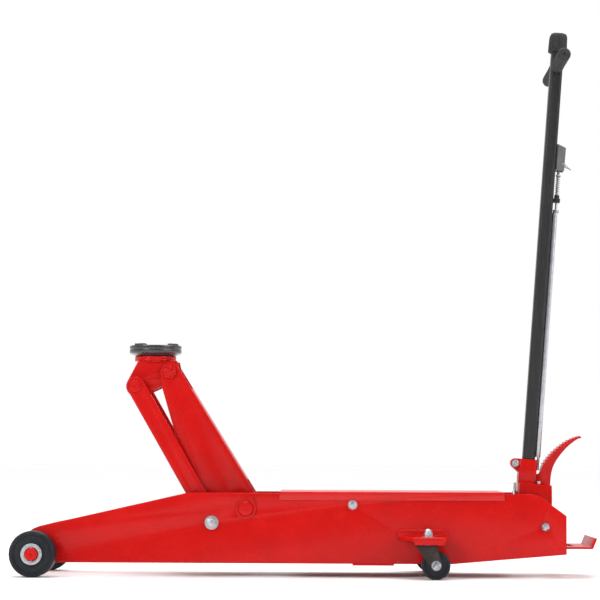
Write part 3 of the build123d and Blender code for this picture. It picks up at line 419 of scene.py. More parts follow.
@dataclass(frozen=True)
class DarkCoating:
    """A dark coating on metal or a dark moulding: grain, scuffs and paler worn edges."""

    name: str
    colour: Colour
    scuff: Colour
    edge: Colour
    smooth: float
    dull: float
    grain: float
    relief: float
    metallic: float = 0.0
    coat: float = 0.0
    gloss: float = 0.5
    wear: float = 0.6
    streaks: tuple[float, float, float] = (1.0, 1.0, 1.0)

    def material(self) -> bpy.types.Material:
        """Build the coating.

        Returns:
            Its material.
        """
        recipe = Recipe(self.name)
        recipe.set(
            metallic=self.metallic, specular_ior_level=self.gloss, coat_weight=self.coat, coat_roughness=0.12
        )
        grain = recipe.noise(self.grain, 4.0, 0.6)
        lumps = recipe.pits(self.grain * 0.45)
        scuffs = recipe.spread(recipe.noise(34.0, 8.0, 0.72, recipe.stretched(self.streaks)), 0.5, 0.78)
        worn = recipe.times(recipe.edges(0.0011), recipe.spread(grain, self.wear - 0.12, self.wear + 0.08))
        tone = recipe.mix(worn, recipe.mix(scuffs, self.colour, self.scuff), self.edge)
        return recipe.dress(
            tone,
            recipe.spread(recipe.noise(70.0, 6.0, 0.65), 0.3, 0.7, self.smooth, self.dull),
            ((grain, 0.5, self.relief), (lumps, 0.3, self.relief * 0.8)),
        )


FINISHES: dict[Coat, Enamel | Plating | MachinedSteel | DarkCoating] = {
    Coat.RED: Enamel("sprayed_red_enamel", (0.5, 0.0062, 0.005), (0.43, 0.0048, 0.0042)),
    Coat.COVER: Enamel(
        "cover_red_enamel", (0.52, 0.007, 0.0055), (0.46, 0.0055, 0.0048),
        smooth=0.18, dull=0.3, gloss=0.3, coat=0.08,
    ),
    Coat.ZINC: Plating("bright_zinc_plate", (0.48, 0.49, 0.52), (0.37, 0.38, 0.4), 0.34, 0.5, relief=0.00001),
    Coat.STEEL: MachinedSteel("machined_steel"),
    Coat.CHROME: Plating("hard_chrome", (0.82, 0.83, 0.85), (0.74, 0.75, 0.77), 0.06, 0.16, relief=0.000008),
    Coat.SPRING: MachinedSteel("spring_wire", (0.3, 0.3, 0.31), (0.12, 0.11, 0.1), 0.3, 0.5),
    Coat.SADDLE: DarkCoating(
        "cast_saddle_black", (0.022, 0.019, 0.022), (0.055, 0.045, 0.048), (0.2, 0.18, 0.18),
        0.16, 0.36, 520.0, 0.00012, coat=0.35, wear=0.64,
    ),
    Coat.WHEEL: DarkCoating(
        "moulded_wheel_black", (0.011, 0.013, 0.017), (0.026, 0.029, 0.035), (0.07, 0.07, 0.072),
        0.34, 0.56, 900.0, 0.00006, gloss=0.22,
    ),
    Coat.FORK: DarkCoating(
        "phosphated_fork", (0.024, 0.018, 0.016), (0.06, 0.05, 0.045), (0.2, 0.18, 0.17),
        0.3, 0.52, 700.0, 0.00008, metallic=0.15, gloss=0.25,
    ),
    Coat.HANDLE: DarkCoating(
        "charcoal_powder_coat", (0.021, 0.021, 0.022), (0.042, 0.042, 0.043), (0.12, 0.12, 0.12),
        0.3, 0.46, 1250.0, 0.00009, gloss=0.2, streaks=(6.0, 6.0, 0.5),
    ),
    Coat.HOUSING: DarkCoating(
        "housing_grey_paint", (0.11, 0.11, 0.11), (0.15, 0.15, 0.15), (0.2, 0.2, 0.2),
        0.34, 0.5, 1100.0, 0.00007, gloss=0.25,
    ),
    Coat.RUBBER: DarkCoating(
        "moulded_rubber", (0.022, 0.022, 0.0225), (0.048, 0.048, 0.049), (0.08, 0.08, 0.08),
        0.6, 0.84, 1700.0, 0.00005, gloss=0.3,
    ),
}


# ======================= modelling by hand =======================


def deselect() -> None:
    """Leave nothing selected, so that an operator acts only on what it is given."""
    for item in bpy.context.selected_objects:
        item.select_set(False)


def take(piece: bpy.types.Object) -> None:
    """Make a piece the only selected one, and the active one."""
    deselect()
    piece.select_set(True)
    bpy.context.view_layer.objects.active = piece


def settle(piece: bpy.types.Object) -> None:
    """Move a piece's place and turn into its mesh."""
    take(piece)
    bpy.ops.object.transform_apply(location=True, rotation=True, scale=True)


def start_edit(piece: bpy.types.Object, everything: bool = True) -> None:
    """Open a piece for editing.

    Args:
        piece: the piece.
        everything: whether all of it is selected, or nothing.
    """
    take(piece)
    bpy.ops.object.mode_set(mode="EDIT")
    bpy.ops.mesh.select_mode(type="FACE")
    bpy.ops.mesh.select_all(action="SELECT" if everything else "DESELECT")


def end_edit() -> None:
    """Close the piece that is open for editing."""
    bpy.ops.object.mode_set(mode="OBJECT")


def pick_faces(piece: bpy.types.Object, test: Callable[[Vector, Vector], bool]) -> int:
    """Select faces of the open piece by their place and normal.

    Args:
        piece: the piece that is open for editing.
        test: says from a face's middle and normal whether it is picked.

    Returns:
        How many faces were picked.
    """
    bpy.ops.mesh.select_all(action="DESELECT")
    mesh = bmesh.from_edit_mesh(piece.data)
    count = 0
    for face in mesh.faces:
        if test(face.calc_center_median(), face.normal):
            face.select_set(True)
            count += 1
    bmesh.update_edit_mesh(piece.data)
    return count


def apply_modifier(piece: bpy.types.Object, kind: str, **settings: object) -> None:
    """Add a modifier, set it and apply it.

    Args:
        piece: the piece it changes.
        kind: Blender's name for the modifier's type.
        settings: its properties.
    """
    take(piece)
    modifier = piece.modifiers.new(kind.lower(), kind)
    for name, value in settings.items():
        setattr(modifier, name, value)
    bpy.ops.object.modifier_apply(modifier=modifier.name)


def soften(piece: bpy.types.Object, width: float, segments: int = 2, angle: float = 32.0) -> None:
    """Round a piece's sharp edges over and shade the rest smooth.

    Args:
        piece: the piece.
        width: the width of the rounding, in millimetres, or 0 for none.
        segments: how many faces the rounding has across it.
        angle: the sharpest angle, in degrees, that still counts as a smooth surface.
    """
    if width > 0:
        apply_modifier(
            piece, "BEVEL", width=width * MM, segments=segments, limit_method="ANGLE",
            angle_limit=math.radians(angle), use_clamp_overlap=False, harden_normals=False,
        )
    take(piece)
    bpy.ops.object.shade_smooth_by_angle(angle=math.radians(angle))


def clean(piece: bpy.types.Object, gap: float = 0.002) -> None:
    """Merge a piece's doubled points and turn all its faces outwards.

    Args:
        piece: the piece.
        gap: how close two points are to become one, in millimetres.
    """
    start_edit(piece)
    bpy.ops.mesh.remove_doubles(threshold=gap * MM)
    bpy.ops.mesh.normals_make_consistent(inside=False)
    end_edit()


def turned(
    name: str, base: Vector, direction: Vector, profile: Profile, corners: int = 48, phase: float = 0.0
) -> bpy.types.Object:
    """Model a turned piece: a disc that is extruded and scaled from one station to the next.

    A profile that ends where it starts makes a ring, and any other makes a solid.

    Args:
        name: the piece's name.
        base: the point on its axis that stations are counted from, in metres.
        direction: its axis, of length one.
        profile: the distance along the axis and the radius of each station, in millimetres.
        corners: how many corners it has around.
        phase: how far the first corner is turned about the axis, in degrees.

    Returns:
        The piece.
    """
    ring = tuple(profile[0]) == tuple(profile[-1])
    along, radius = profile[0]
    turn = direction.to_track_quat("Z", "Y") @ Quaternion(UP, math.radians(phase))
    deselect()
    bpy.ops.mesh.primitive_circle_add(
        vertices=corners, radius=radius * MM, fill_type="NOTHING" if ring else "NGON",
        location=base + direction * (along * MM), rotation=turn.to_euler(),
    )
    piece = bpy.context.active_object
    piece.name = name
    settle(piece)
    start_edit(piece)
    bpy.ops.mesh.select_mode(type="EDGE" if ring else "FACE")
    bpy.ops.mesh.select_all(action="SELECT")
    for next_along, next_radius in profile[1:]:
        step = direction * ((next_along - along) * MM)
        bpy.ops.mesh.extrude_region_move(TRANSFORM_OT_translate={"value": step})
        ratio = next_radius / radius
        if abs(ratio - 1) > 1e-9:
            bpy.ops.transform.resize(
                value=(ratio, ratio, 1.0), orient_type="LOCAL", orient_matrix=turn.to_matrix(),
                orient_matrix_type="LOCAL", center_override=base + direction * (next_along * MM),
            )
        along, radius = next_along, next_radius
    end_edit()
    clean(piece)
    return piece


def combine(piece: bpy.types.Object, tool: bpy.types.Object, how: str) -> None:
    """Cut a piece with another, add the other to it, or keep what they share.

    Args:
        piece: the piece that stays.
        tool: the other, which is removed.
        how: DIFFERENCE, UNION or INTERSECT.
    """
    apply_modifier(piece, "BOOLEAN", object=tool, operation=how, solver="EXACT")
    bpy.data.objects.remove(tool)


def joined(name: str, pieces: Sequence[bpy.types.Object]) -> bpy.types.Object:
    """Join several meshes into one piece.

    Args:
        name: the piece's name.
        pieces: what it is made of.

    Returns:
        The joined piece.
    """
    take(pieces[0])
    for piece in pieces:
        piece.select_set(True)
    if len(pieces) > 1:
        bpy.ops.object.join()
    pieces[0].name = name
    return pieces[0]


def copied(piece: bpy.types.Object, name: str, matrix: Matrix) -> bpy.types.Object:
    """Copy a piece with a mesh of its own, and put the copy elsewhere.

    Args:
        piece: the piece to copy.
        name: the copy's name.
        matrix: where its mesh goes, as a move, a turn or a mirror.

    Returns:
        The copy.
    """
    take(piece)
    bpy.ops.object.duplicate()
    twin = bpy.context.active_object
    twin.name = name
    twin.matrix_world = matrix @ twin.matrix_world
    settle(twin)
    if matrix.determinant() < 0:
        start_edit(twin)
        bpy.ops.mesh.flip_normals()
        end_edit()
    return twin


def mirrored(piece: bpy.types.Object, name: str) -> bpy.types.Object:
    """Copy a piece to the other side of the jack."""
    return copied(piece, name, Matrix.Scale(-1.0, 4, ACROSS))


def both_sides(name: str, piece: bpy.types.Object) -> bpy.types.Object:
    """Join a piece and its copy on the other side of the jack."""
    return joined(name, [piece, mirrored(piece, "twin")])


def hexagon(
    name: str, base: Vector, direction: Vector, radius: float, height: float, phase: float = 0.0,
    both: bool = False,
) -> bpy.types.Object:
    """Model a hexagon head or nut whose corners are turned off at a cone.

    Args:
        name: the piece's name.
        base: the middle of its lower face, in metres.
        direction: its axis, of length one.
        radius: the radius over its corners, in millimetres.
        height: its height, in millimetres.
        phase: how far its first corner is turned, in degrees.
        both: whether the lower corners are turned off too.

    Returns:
        The piece.
    """
    piece = turned(name, base, direction, ((0.0, radius), (height, radius)), 6, phase)
    drop = radius * 0.07
    wide = radius * 1.01
    low = ((0.0, radius * 0.9), (drop, wide)) if both else ((-0.5, wide),)
    cone = turned("cone", base, direction, (*low, (height - drop, wide), (height + 0.001, radius * 0.88)), 48)
    combine(piece, cone, "INTERSECT")
    return piece


def threads(start: float, end: float, radius: float, pitch: float) -> list[tuple[float, float]]:
    """List the stations of a threaded length.

    Args:
        start: where the thread starts, in millimetres.
        end: where it ends.
        radius: its outer radius.
        pitch: the distance from crest to crest.

    Returns:
        The stations, from root to crest and back.
    """
    count = max(1, round((end - start) / pitch))
    step = (end - start) / count
    stations = []
    for turn in range(count):
        stations.append((start + step * turn, radius - 0.32 * pitch))
        stations.append((start + step * (turn + 0.42), radius))
        stations.append((start + step * (turn + 0.58), radius))
    return [*stations, (end, radius - 0.32 * pitch)]


def ring_section(
    low: float, high: float, inner: float, outer: float, corner: float = 0.0
) -> list[tuple[float, float]]:
    """List the stations of a washer, for a turned piece.

    Args:
        low: where it starts along its axis, in millimetres.
        high: where it ends.
        inner: the radius of its hole.
        outer: its outer radius.
        corner: how far its outer corners are cut off.

    Returns:
        The stations, which end where they start.
    """
    rim = [(low, outer)]
    if corner > 0:
        rim = [(low, outer - corner), (low + corner, outer), (high - corner, outer), (high, outer - corner)]
    else:
        rim.append((high, outer))
    return [(low, inner), *rim, (high, inner), (low, inner)]


def bead(name: str, start: Vector, end: Vector, radius: float) -> bpy.types.Object:
    """Model a straight weld bead, whose ripples follow one another like laid coins.

    Args:
        name: the bead's name.
        start: where it starts, in metres.
        end: where it ends, in metres.
        radius: its radius, in millimetres.

    Returns:
        The bead.
    """
    length = (end - start).length / MM
    count = max(2, round(length / (radius * 0.8)))
    step = length / count
    stations = [(0.0, radius * 0.45)]
    for ripple in range(count):
        swell = 1.0 + 0.06 * math.sin(ripple * 2.3) + 0.04 * math.sin(ripple * 0.9)
        stations.append((step * (ripple + 0.3), radius * swell))
        stations.append((step * (ripple + 0.85), radius * 0.86 * swell))
    stations.append((length, radius * 0.4))
    piece = turned(name, start, (end - start).normalized(), stations, 8)
    take(piece)
    bpy.ops.object.shade_smooth()
    return piece


def ring_bead(name: str, centre: Vector, direction: Vector, radius: float, width: float) -> bpy.types.Object:
    """Model a weld bead that runs round a tube or pin.

    Args:
        name: the bead's name.
        centre: the middle of the ring, in metres.
        direction: the ring's axis.
        radius: the ring's radius, in millimetres.
        width: the bead's own radius, in millimetres.

    Returns:
        The bead.
    """
    sections = 2 * round(math.pi * radius / (width * 0.8))
    deselect()
    bpy.ops.mesh.primitive_torus_add(
        major_radius=radius * MM, minor_radius=width * MM, major_segments=sections, minor_segments=8,
        location=centre, rotation=direction.to_track_quat("Z", "Y").to_euler(),
    )
    piece = bpy.context.active_object
    piece.name = name
    start_edit(piece, everything=False)
    bpy.ops.mesh.select_mode(type="VERT")
    mesh = bmesh.from_edit_mesh(piece.data)
    for point in mesh.verts:
        turn = math.atan2(point.co.y, point.co.x) / math.tau * sections
        point.select_set(round(turn) % 2 == 0)
    mesh.select_flush_mode()
    bmesh.update_edit_mesh(piece.data)
    bpy.ops.transform.shrink_fatten(value=-0.16 * width * MM)
    end_edit()
    settle(piece)
    take(piece)
    bpy.ops.object.shade_smooth()
    return piece


def coil(
    name: str, base: Vector, direction: Vector, radius: float, wire: float, length: float, turns: int
) -> bpy.types.Object:
    """Model a compression spring with a closed ring at each end.

    Args:
        name: the spring's name.
        base: the middle of its lower end, in metres.
        direction: its axis, of length one.
        radius: the radius to the middle of its wire, in millimetres.
        wire: the wire's radius.
        length: the spring's length over its wire.
        turns: how many turns it has.

    Returns:
        The spring.
    """
    deselect()
    bpy.ops.mesh.primitive_circle_add(
        vertices=10, radius=wire * MM, location=(radius * MM, 0.0, wire * MM), rotation=(math.pi / 2, 0.0, 0.0)
    )
    wound = bpy.context.active_object
    settle(wound)
    rise = (length - 2 * wire) * MM
    apply_modifier(
        wound, "SCREW", axis="Z", angle=math.tau * turns, screw_offset=rise, steps=28 * turns,
        render_steps=28 * turns, use_merge_vertices=False,
    )
    start_edit(wound)
    bpy.ops.mesh.fill_holes(sides=0)
    end_edit()
    clean(wound)
    rings = []
    for height in (wire, length - wire):
        deselect()
        bpy.ops.mesh.primitive_torus_add(
            major_radius=radius * MM, minor_radius=wire * 0.98 * MM, major_segments=36, minor_segments=10,
            location=(0.0, 0.0, height * MM),
        )
        ring = bpy.context.active_object
        settle(ring)
        rings.append(ring)
    piece = joined(name, [wound, *rings])
    piece.matrix_world = Matrix.Translation(base) @ direction.to_track_quat("Z", "Y").to_matrix().to_4x4()
    settle(piece)
    take(piece)
    bpy.ops.object.shade_smooth()
    return piece


# ======================= the workshop =======================


@dataclass
class Workshop:
    """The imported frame, its finishes, and the steps that every piece goes through."""

    frame: dict
    paints: dict[Coat, bpy.types.Material] = field(default_factory=dict)

    def __post_init__(self) -> None:
        """Mix every finish once."""
        for coat, finish in FINISHES.items():
            self.paints[coat] = finish.material()

    def fit(
        self, piece: bpy.types.Object, body: str, coat: Coat, nodes: Sequence[str] = ()
    ) -> bpy.types.Object:
        """Paint a piece, let it ride on a body, and let it stand for frame parts.

        Args:
            piece: the finished mesh.
            body: the frame's body that it moves with.
            coat: its finish.
            nodes: the frame's parts that it replaces.

        Returns:
            The piece.
        """
        piece.data.name = piece.name
        piece.data.materials.clear()
        piece.data.materials.append(self.paints[coat])
        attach(piece, body)
        if nodes:
            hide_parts(*nodes)
        log.info("%s: %d faces on %s, %s", piece.name, len(piece.data.polygons), body, coat.value)
        return piece

    def copy_part(self, node: str, name: str) -> bpy.types.Object:
        """Copy a frame part's mesh, merge its loose triangles and clear its flat faces.

        Args:
            node: the frame part.
            name: the copy's name.

        Returns:
            The copy, at rest.
        """
        source = self.frame["nodes"][node]
        piece = bpy.data.objects.new(name, source.data.copy())
        bpy.context.scene.collection.objects.link(piece)
        start_edit(piece)
        bpy.ops.mesh.customdata_custom_splitnormals_clear()
        bpy.ops.mesh.remove_doubles(threshold=0.004 * MM)
        bpy.ops.mesh.dissolve_limited(angle_limit=math.radians(0.6))
        end_edit()
        return piece

    def round_over(self, node: str, coat: Coat, width: float, segments: int = 2) -> bpy.types.Object:
        """Stand for a frame part with a copy whose edges are rounded over.

        Args:
            node: the frame part.
            coat: its finish.
            width: the width of the rounding, in millimetres.
            segments: how many faces the rounding has across it.

        Returns:
            The dressed copy.
        """
        piece = self.copy_part(node, f"dressed_{node}")
        soften(piece, width, segments)
        return self.fit(piece, self.frame["nodes"][node]["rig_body"], coat, (node,))


# ======================= chassis =======================


@dataclass
class Chassis:
    """Side plates, nose, cover, tail and the fasteners between them."""

    shop: Workshop
    plate_outer: float = 106.0
    plate_inner: float = 98.0
    edge: float = 1.1
    cover_outer: float = 109.0
    cover_bolt: tuple[float, float] = (116.0, 174.0)
    tail_x: tuple[float, float] = (606.0, 628.0)
    tail_z: float = 75.0

    def plates(self) -> None:
        """Dress the sheet parts: thick plates get a wide rounding and thin ones a fine one."""
        for node, width in (
            ("side_plate_left", self.edge), ("side_plate_right", self.edge), ("nose_plate", 1.4),
            ("bottom_tie_plate", 0.8), ("tail_plate", 1.0),
            ("caster_bracket_left", 2.2), ("caster_bracket_right", 2.2),
        ):
            self.shop.round_over(node, Coat.RED, width, 3)
        self.shop.round_over("top_cover", Coat.COVER, 0.8, 3)

    def cover_bolts(self) -> None:
        """Model the cover's bolts: washer-faced hexagon heads, plain washers and nuts inside."""
        x, z = self.cover_bolt
        pieces = []
        for _, sign in SIDES:
            out = ACROSS * sign
            seat = Vector((x, 0.0, z)) * MM + out * (self.cover_outer * MM)
            inside = Vector((x, 0.0, z)) * MM + out * (self.plate_inner * MM)
            washer = turned("washer", seat, out, ring_section(0, 1.5, 5.2, 10.6), 40)
            head = hexagon("head", seat + out * 1.5 * MM, out, 9.0, 5.0, 8.0)
            shank = turned("shank", seat - out * 16 * MM, out, ((0, 4.2), (1, 5.0), (17, 5.0)), 24)
            nut = hexagon("nut", inside - out * 8 * MM, out, 9.2, 7.9, 20.0, both=True)
            for piece in (washer, head, nut):
                soften(piece, 0.3)
            pieces += [washer, head, shank, nut]
        bolts = joined("cover_hex_bolts", pieces)
        self.shop.fit(bolts, "chassis", Coat.ZINC, ("cover_bolts",))

    def tail_welds(self) -> None:
        """Lay the beads that hold the tail plate between the side plates."""
        beads = []
        for _, sign in SIDES:
            y = sign * (self.plate_inner - 1.2)
            start, end = (Vector((x, y, self.tail_z + 0.8)) * MM for x in self.tail_x)
            beads.append(bead("tail_bead", start, end, 2.8))
        self.shop.fit(joined("tail_weld_beads", beads), "chassis", Coat.RED)

    def bracket_welds(self) -> None:
        """Lay the beads that join the caster shelves to the side plates, above and below."""
        for side, sign in SIDES:
            low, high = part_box(f"caster_bracket_{side}")
            beads = []
            for z, y, radius in ((114.0, 1.2, 3.0), (101.0, 7.0, 2.6), (89.0, 1.2, 3.0)):
                start = Vector((low.x + 0.008, sign * (self.plate_outer + y) * MM, z * MM))
                end = Vector((high.x - 0.008, start.y, start.z))
                beads.append(bead("shelf_bead", start, end, radius))
            self.shop.fit(joined(f"caster_shelf_beads_{side}", beads), "chassis", Coat.RED)

    def build(self) -> None:
        """Dress the whole chassis."""
        self.plates()
        self.cover_bolts()
        self.tail_welds()
        self.bracket_welds()


# ======================= wheels and casters =======================


@dataclass
class FrontWheels:
    """Two solid wheels on one axle, each between washers and held by a split pin."""

    shop: Workshop
    axle_x: float = -647.0
    axle_z: float = 55.0
    inner: float = 109.9
    width: float = 48.0
    radius: float = 55.0
    axle_radius: float = 15.0
    washer_radius: float = 25.5
    washer: float = 3.6
    axle_end: float = 169.8

    def centre(self, y: float) -> Vector:
        """The point on the axle at a distance from the jack's middle, in metres."""
        return Vector((self.axle_x, y, self.axle_z)) * MM

    def wheel_profile(self) -> list[tuple[float, float]]:
        """List the wheel's section: hub, dished web, grooved rim and crowned tread.

        Returns:
            The stations from the wheel's middle, outer face last.
        """
        half, rim = self.width / 2, self.radius
        bore = self.axle_radius + 0.1
        outer_face = [
            (half - 4.5, rim), (half - 2.2, rim - 0.7), (half - 0.7, rim - 2.3), (half, rim - 4.6),
            (half, 48.6), (half - 1.3, 48.0), (half - 1.3, 46.6), (half, 46.0), (half, 44.6),
            (half - 2.6, 43.2), (half - 3.0, 42.4), (half - 3.0, 30.4), (half - 2.6, 29.4), (half, 28.0),
        ]
        inner_face = [(-along, around) for along, around in reversed(outer_face)]
        parting = [(-0.9, rim - 0.12), (-0.35, rim), (0.35, rim), (0.9, rim - 0.12)]
        return [(-half, bore), *inner_face, *parting, *outer_face, (half, bore), (-half, bore)]

    def wheels(self) -> None:
        """Turn one wheel and copy it to the other side."""
        middle = -(self.inner + self.width / 2)
        wheel = turned("front_wheel_solid_left", self.centre(middle), -ACROSS, self.wheel_profile(), 112)
        soften(wheel, 0.45, 3, 24.0)
        twin = mirrored(wheel, "front_wheel_solid_right")
        self.shop.fit(wheel, "front_wheel_l", Coat.WHEEL, ("front_wheel_left",))
        soften(twin, 0.0, angle=24.0)
        self.shop.fit(twin, "front_wheel_r", Coat.WHEEL, ("front_wheel_right",))

    def axle(self) -> None:
        """Turn the axle with its chamfers and centre drillings."""
        end, radius = self.axle_end, self.axle_radius
        profile = (
            (0.2 + 3.0, 0.6), (0.2, 2.6), (0, 3.0), (0, radius - 1.6), (1.6, radius),
            (2 * end - 1.6, radius), (2 * end, radius - 1.6), (2 * end, 3.0), (2 * end - 0.2, 2.6),
            (2 * end - 3.2, 0.6),
        )
        axle = turned("front_axle_bar", self.centre(-end), ACROSS, profile, 64)
        soften(axle, 0.3)
        self.shop.fit(axle, "chassis", Coat.RED, ("front_axle",))

    def split_pin(self, y: float) -> bpy.types.Object:
        """Model a split pin through the axle: an eye, two legs and their spread ends.

        Args:
            y: the pin's distance from the jack's middle, in millimetres.

        Returns:
            The pin.
        """
        top, bottom, wire = self.axle_z + 17.4, self.axle_z - 16.0, 0.95
        deselect()
        bpy.ops.mesh.primitive_torus_add(
            major_radius=2.3 * MM, minor_radius=wire * MM, major_segments=28, minor_segments=10,
            location=Vector((self.axle_x, y, top + 1.4)) * MM, rotation=(math.pi / 2, 0.0, 0.0),
        )
        eye = bpy.context.active_object
        settle(eye)
        legs = []
        for way in (-1.0, 1.0):
            x = self.axle_x + way * wire
            leg = turned("leg", Vector((x, y, top)) * MM, -UP, ((0, wire), (top - bottom, wire)), 10)
            start_edit(leg)
            low = bottom * MM + 1e-6
            pick_faces(leg, lambda middle, normal: middle.z < low and normal.z < -0.9)
            bpy.ops.mesh.spin(
                steps=6, angle=math.radians(70.0) * way, center=Vector((x + way * 3.0, y, bottom)) * MM,
                axis=(0.0, 1.0, 0.0),
            )
            end_edit()
            clean(leg)
            legs.append(leg)
        pin = joined("split_pin", [eye, *legs])
        take(pin)
        bpy.ops.object.shade_smooth_by_angle(angle=math.radians(40.0))
        return pin

    def retainers(self) -> None:
        """Model the thrust washers and the split pins."""
        bore, rim, thick = self.axle_radius + 0.15, self.washer_radius, self.washer
        profile = ((0, bore), (0, rim - 0.6), (0.6, rim), (thick - 0.6, rim), (thick, rim - 0.6))
        profile = (*profile, (thick, bore + 1.5), (thick - 1.3, bore + 0.5), (1.0, bore), (0, bore))
        pieces = []
        for _, sign in SIDES:
            for start in (self.plate_outer_y(), self.inner + self.width + 0.3):
                washer = turned("washer", self.centre(sign * start), ACROSS * sign, profile, 72)
                soften(washer, 0.25)
                pieces.append(washer)
            pieces.append(self.split_pin(sign * (self.axle_end - 4.5)))
        self.shop.fit(joined("wheel_washers_and_pins", pieces), "chassis", Coat.ZINC, ("wheel_retainers",))

    def plate_outer_y(self) -> float:
        """Where the inner washer stands, against the side plate."""
        return self.inner - self.washer - 0.3

    def build(self) -> None:
        """Build the wheels, their axle and what holds them."""
        self.wheels()
        self.axle()
        self.retainers()


@dataclass
class Casters:
    """Two swivel casters under the chassis shelves."""

    shop: Workshop
    king_x: float = 294.0
    king_y: float = 165.0
    king_radius: float = 7.0
    head_z: tuple[float, float] = (70.5, 75.7)
    thrust_z: tuple[float, float] = (81.3, 90.0)
    shelf_z: float = 100.0
    wheel_x: float = 312.0
    wheel_radius: float = 34.0
    wheel_width: float = 26.0
    fork_outer: float = 19.0

    def wheels(self) -> None:
        """Turn one caster wheel and copy it to the other side."""
        half, rim, bore = self.wheel_width / 2, self.wheel_radius, 6.1
        face = [
            (half - 3.0, rim), (half - 1.3, rim - 0.6), (half - 0.3, rim - 1.8), (half, rim - 3.2),
            (half, 27.4), (half - 1.7, 26.2), (half - 2.0, 25.6), (half - 2.0, 13.6), (half - 1.7, 12.9),
            (half, 12.0),
        ]
        inner = [(-along, around) for along, around in reversed(face)]
        profile = [(-half, bore), *inner, *face, (half, bore), (-half, bore)]
        middle = Vector((self.wheel_x, -self.king_y, self.wheel_radius)) * MM
        wheel = turned("caster_wheel_solid_left", middle, -ACROSS, profile, 80)
        soften(wheel, 0.35, 2, 24.0)
        twin = mirrored(wheel, "caster_wheel_solid_right")
        soften(twin, 0.0, angle=24.0)
        self.shop.fit(wheel, "caster_wheel_l", Coat.WHEEL, ("caster_wheel_left",))
        self.shop.fit(twin, "caster_wheel_r", Coat.WHEEL, ("caster_wheel_right",))

    def forks(self) -> None:
        """Dress the pressed forks."""
        for side, _ in SIDES:
            self.shop.round_over(f"caster_fork_{side}", Coat.FORK, 0.9, 3)

    def wheel_bolts(self) -> None:
        """Model the wheel bolts: hexagon head, washers and nut, with the thread's end standing out."""
        outer = self.fork_outer
        base = Vector((self.wheel_x, -self.king_y, self.wheel_radius)) * MM
        parts = []
        for out, is_nut in ((-ACROSS, False), (ACROSS, True)):
            seat = base + out * outer * MM
            washer = turned("washer", seat, out, ring_section(0, 1.4, 6.2, 11.4), 40)
            hexed = hexagon("hex", seat + out * 1.4 * MM, out, 9.8, 4.6 if is_nut else 5.6, 12.0)
            soften(washer, 0.25)
            soften(hexed, 0.3)
            parts += [washer, hexed]
        stub = [*threads(2 * outer - 2, 2 * outer + 6.6, 5.6, 1.5), (2 * outer + 7.2, 4.2)]
        shank = turned("shank", base - ACROSS * outer * MM, ACROSS, ((0, 5.9), *stub), 28)
        soften(shank, 0.0)
        bolt = joined("caster_wheel_bolt_left", [*parts, shank])
        twin = mirrored(bolt, "caster_wheel_bolt_right")
        self.shop.fit(bolt, "caster_l", Coat.ZINC, ("caster_axle_left",))
        self.shop.fit(twin, "caster_r", Coat.ZINC, ("caster_axle_right",))

    def king_pins(self) -> None:
        """Model the king pins: head, thrust race, shank and a domed nut on a washer."""
        parts = []
        foot, head_top = self.head_z
        low, high = self.thrust_z
        top = self.shelf_z
        base = Vector((self.king_x, -self.king_y, 0.0)) * MM
        shank = self.king_radius
        head = ((foot, 9.6), (foot + 1.4, 11), (head_top, 11), (head_top, shank), (top, shank))
        parts.append(turned("shank", base, UP, head, 48))
        race = (
            (low, 7.4), (low, 20.4), (low + 0.6, 21), (low + 3.2, 21), (low + 3.8, 20.2), (low + 4.0, 18.8),
            (low + 4.7, 18.8), (low + 4.9, 20.2), (low + 5.5, 21), (high - 0.6, 21), (high, 20.4), (high, 7.4),
            (low, 7.4),
        )
        parts.append(turned("race", base, UP, race, 72))
        parts.append(turned("washer", base, UP, ring_section(top, top + 1.8, 7.2, 14.4), 48))
        parts.append(hexagon("nut", base + UP * (top + 1.8) * MM, UP, 11.0, 8.2, 10.0, both=True))
        dome = [(top + 9.5, 9.6), (top + 11.4, 9.5)]
        dome += [(top + 11.4 + 8.3 * math.sin(turn), 9.4 * math.cos(turn)) for turn in self.dome_turns()]
        parts.append(turned("dome", base, UP, [*dome, (top + 19.9, 0.0)], 40))
        for part in parts:
            soften(part, 0.3, 2, 36.0)
        pins = both_sides("caster_king_pins", joined("caster_king_pins", parts))
        self.shop.fit(pins, "chassis", Coat.ZINC, ("king_pins",))

    @staticmethod
    def dome_turns() -> list[float]:
        """The angles up the nut's dome at which it has a station, in radians."""
        return [math.radians(angle) for angle in (12, 26, 40, 54, 68, 80)]

    def build(self) -> None:
        """Build both casters."""
        self.wheels()
        self.forks()
        self.wheel_bolts()
        self.king_pins()


# ======================= arm, links, bracket and saddle =======================


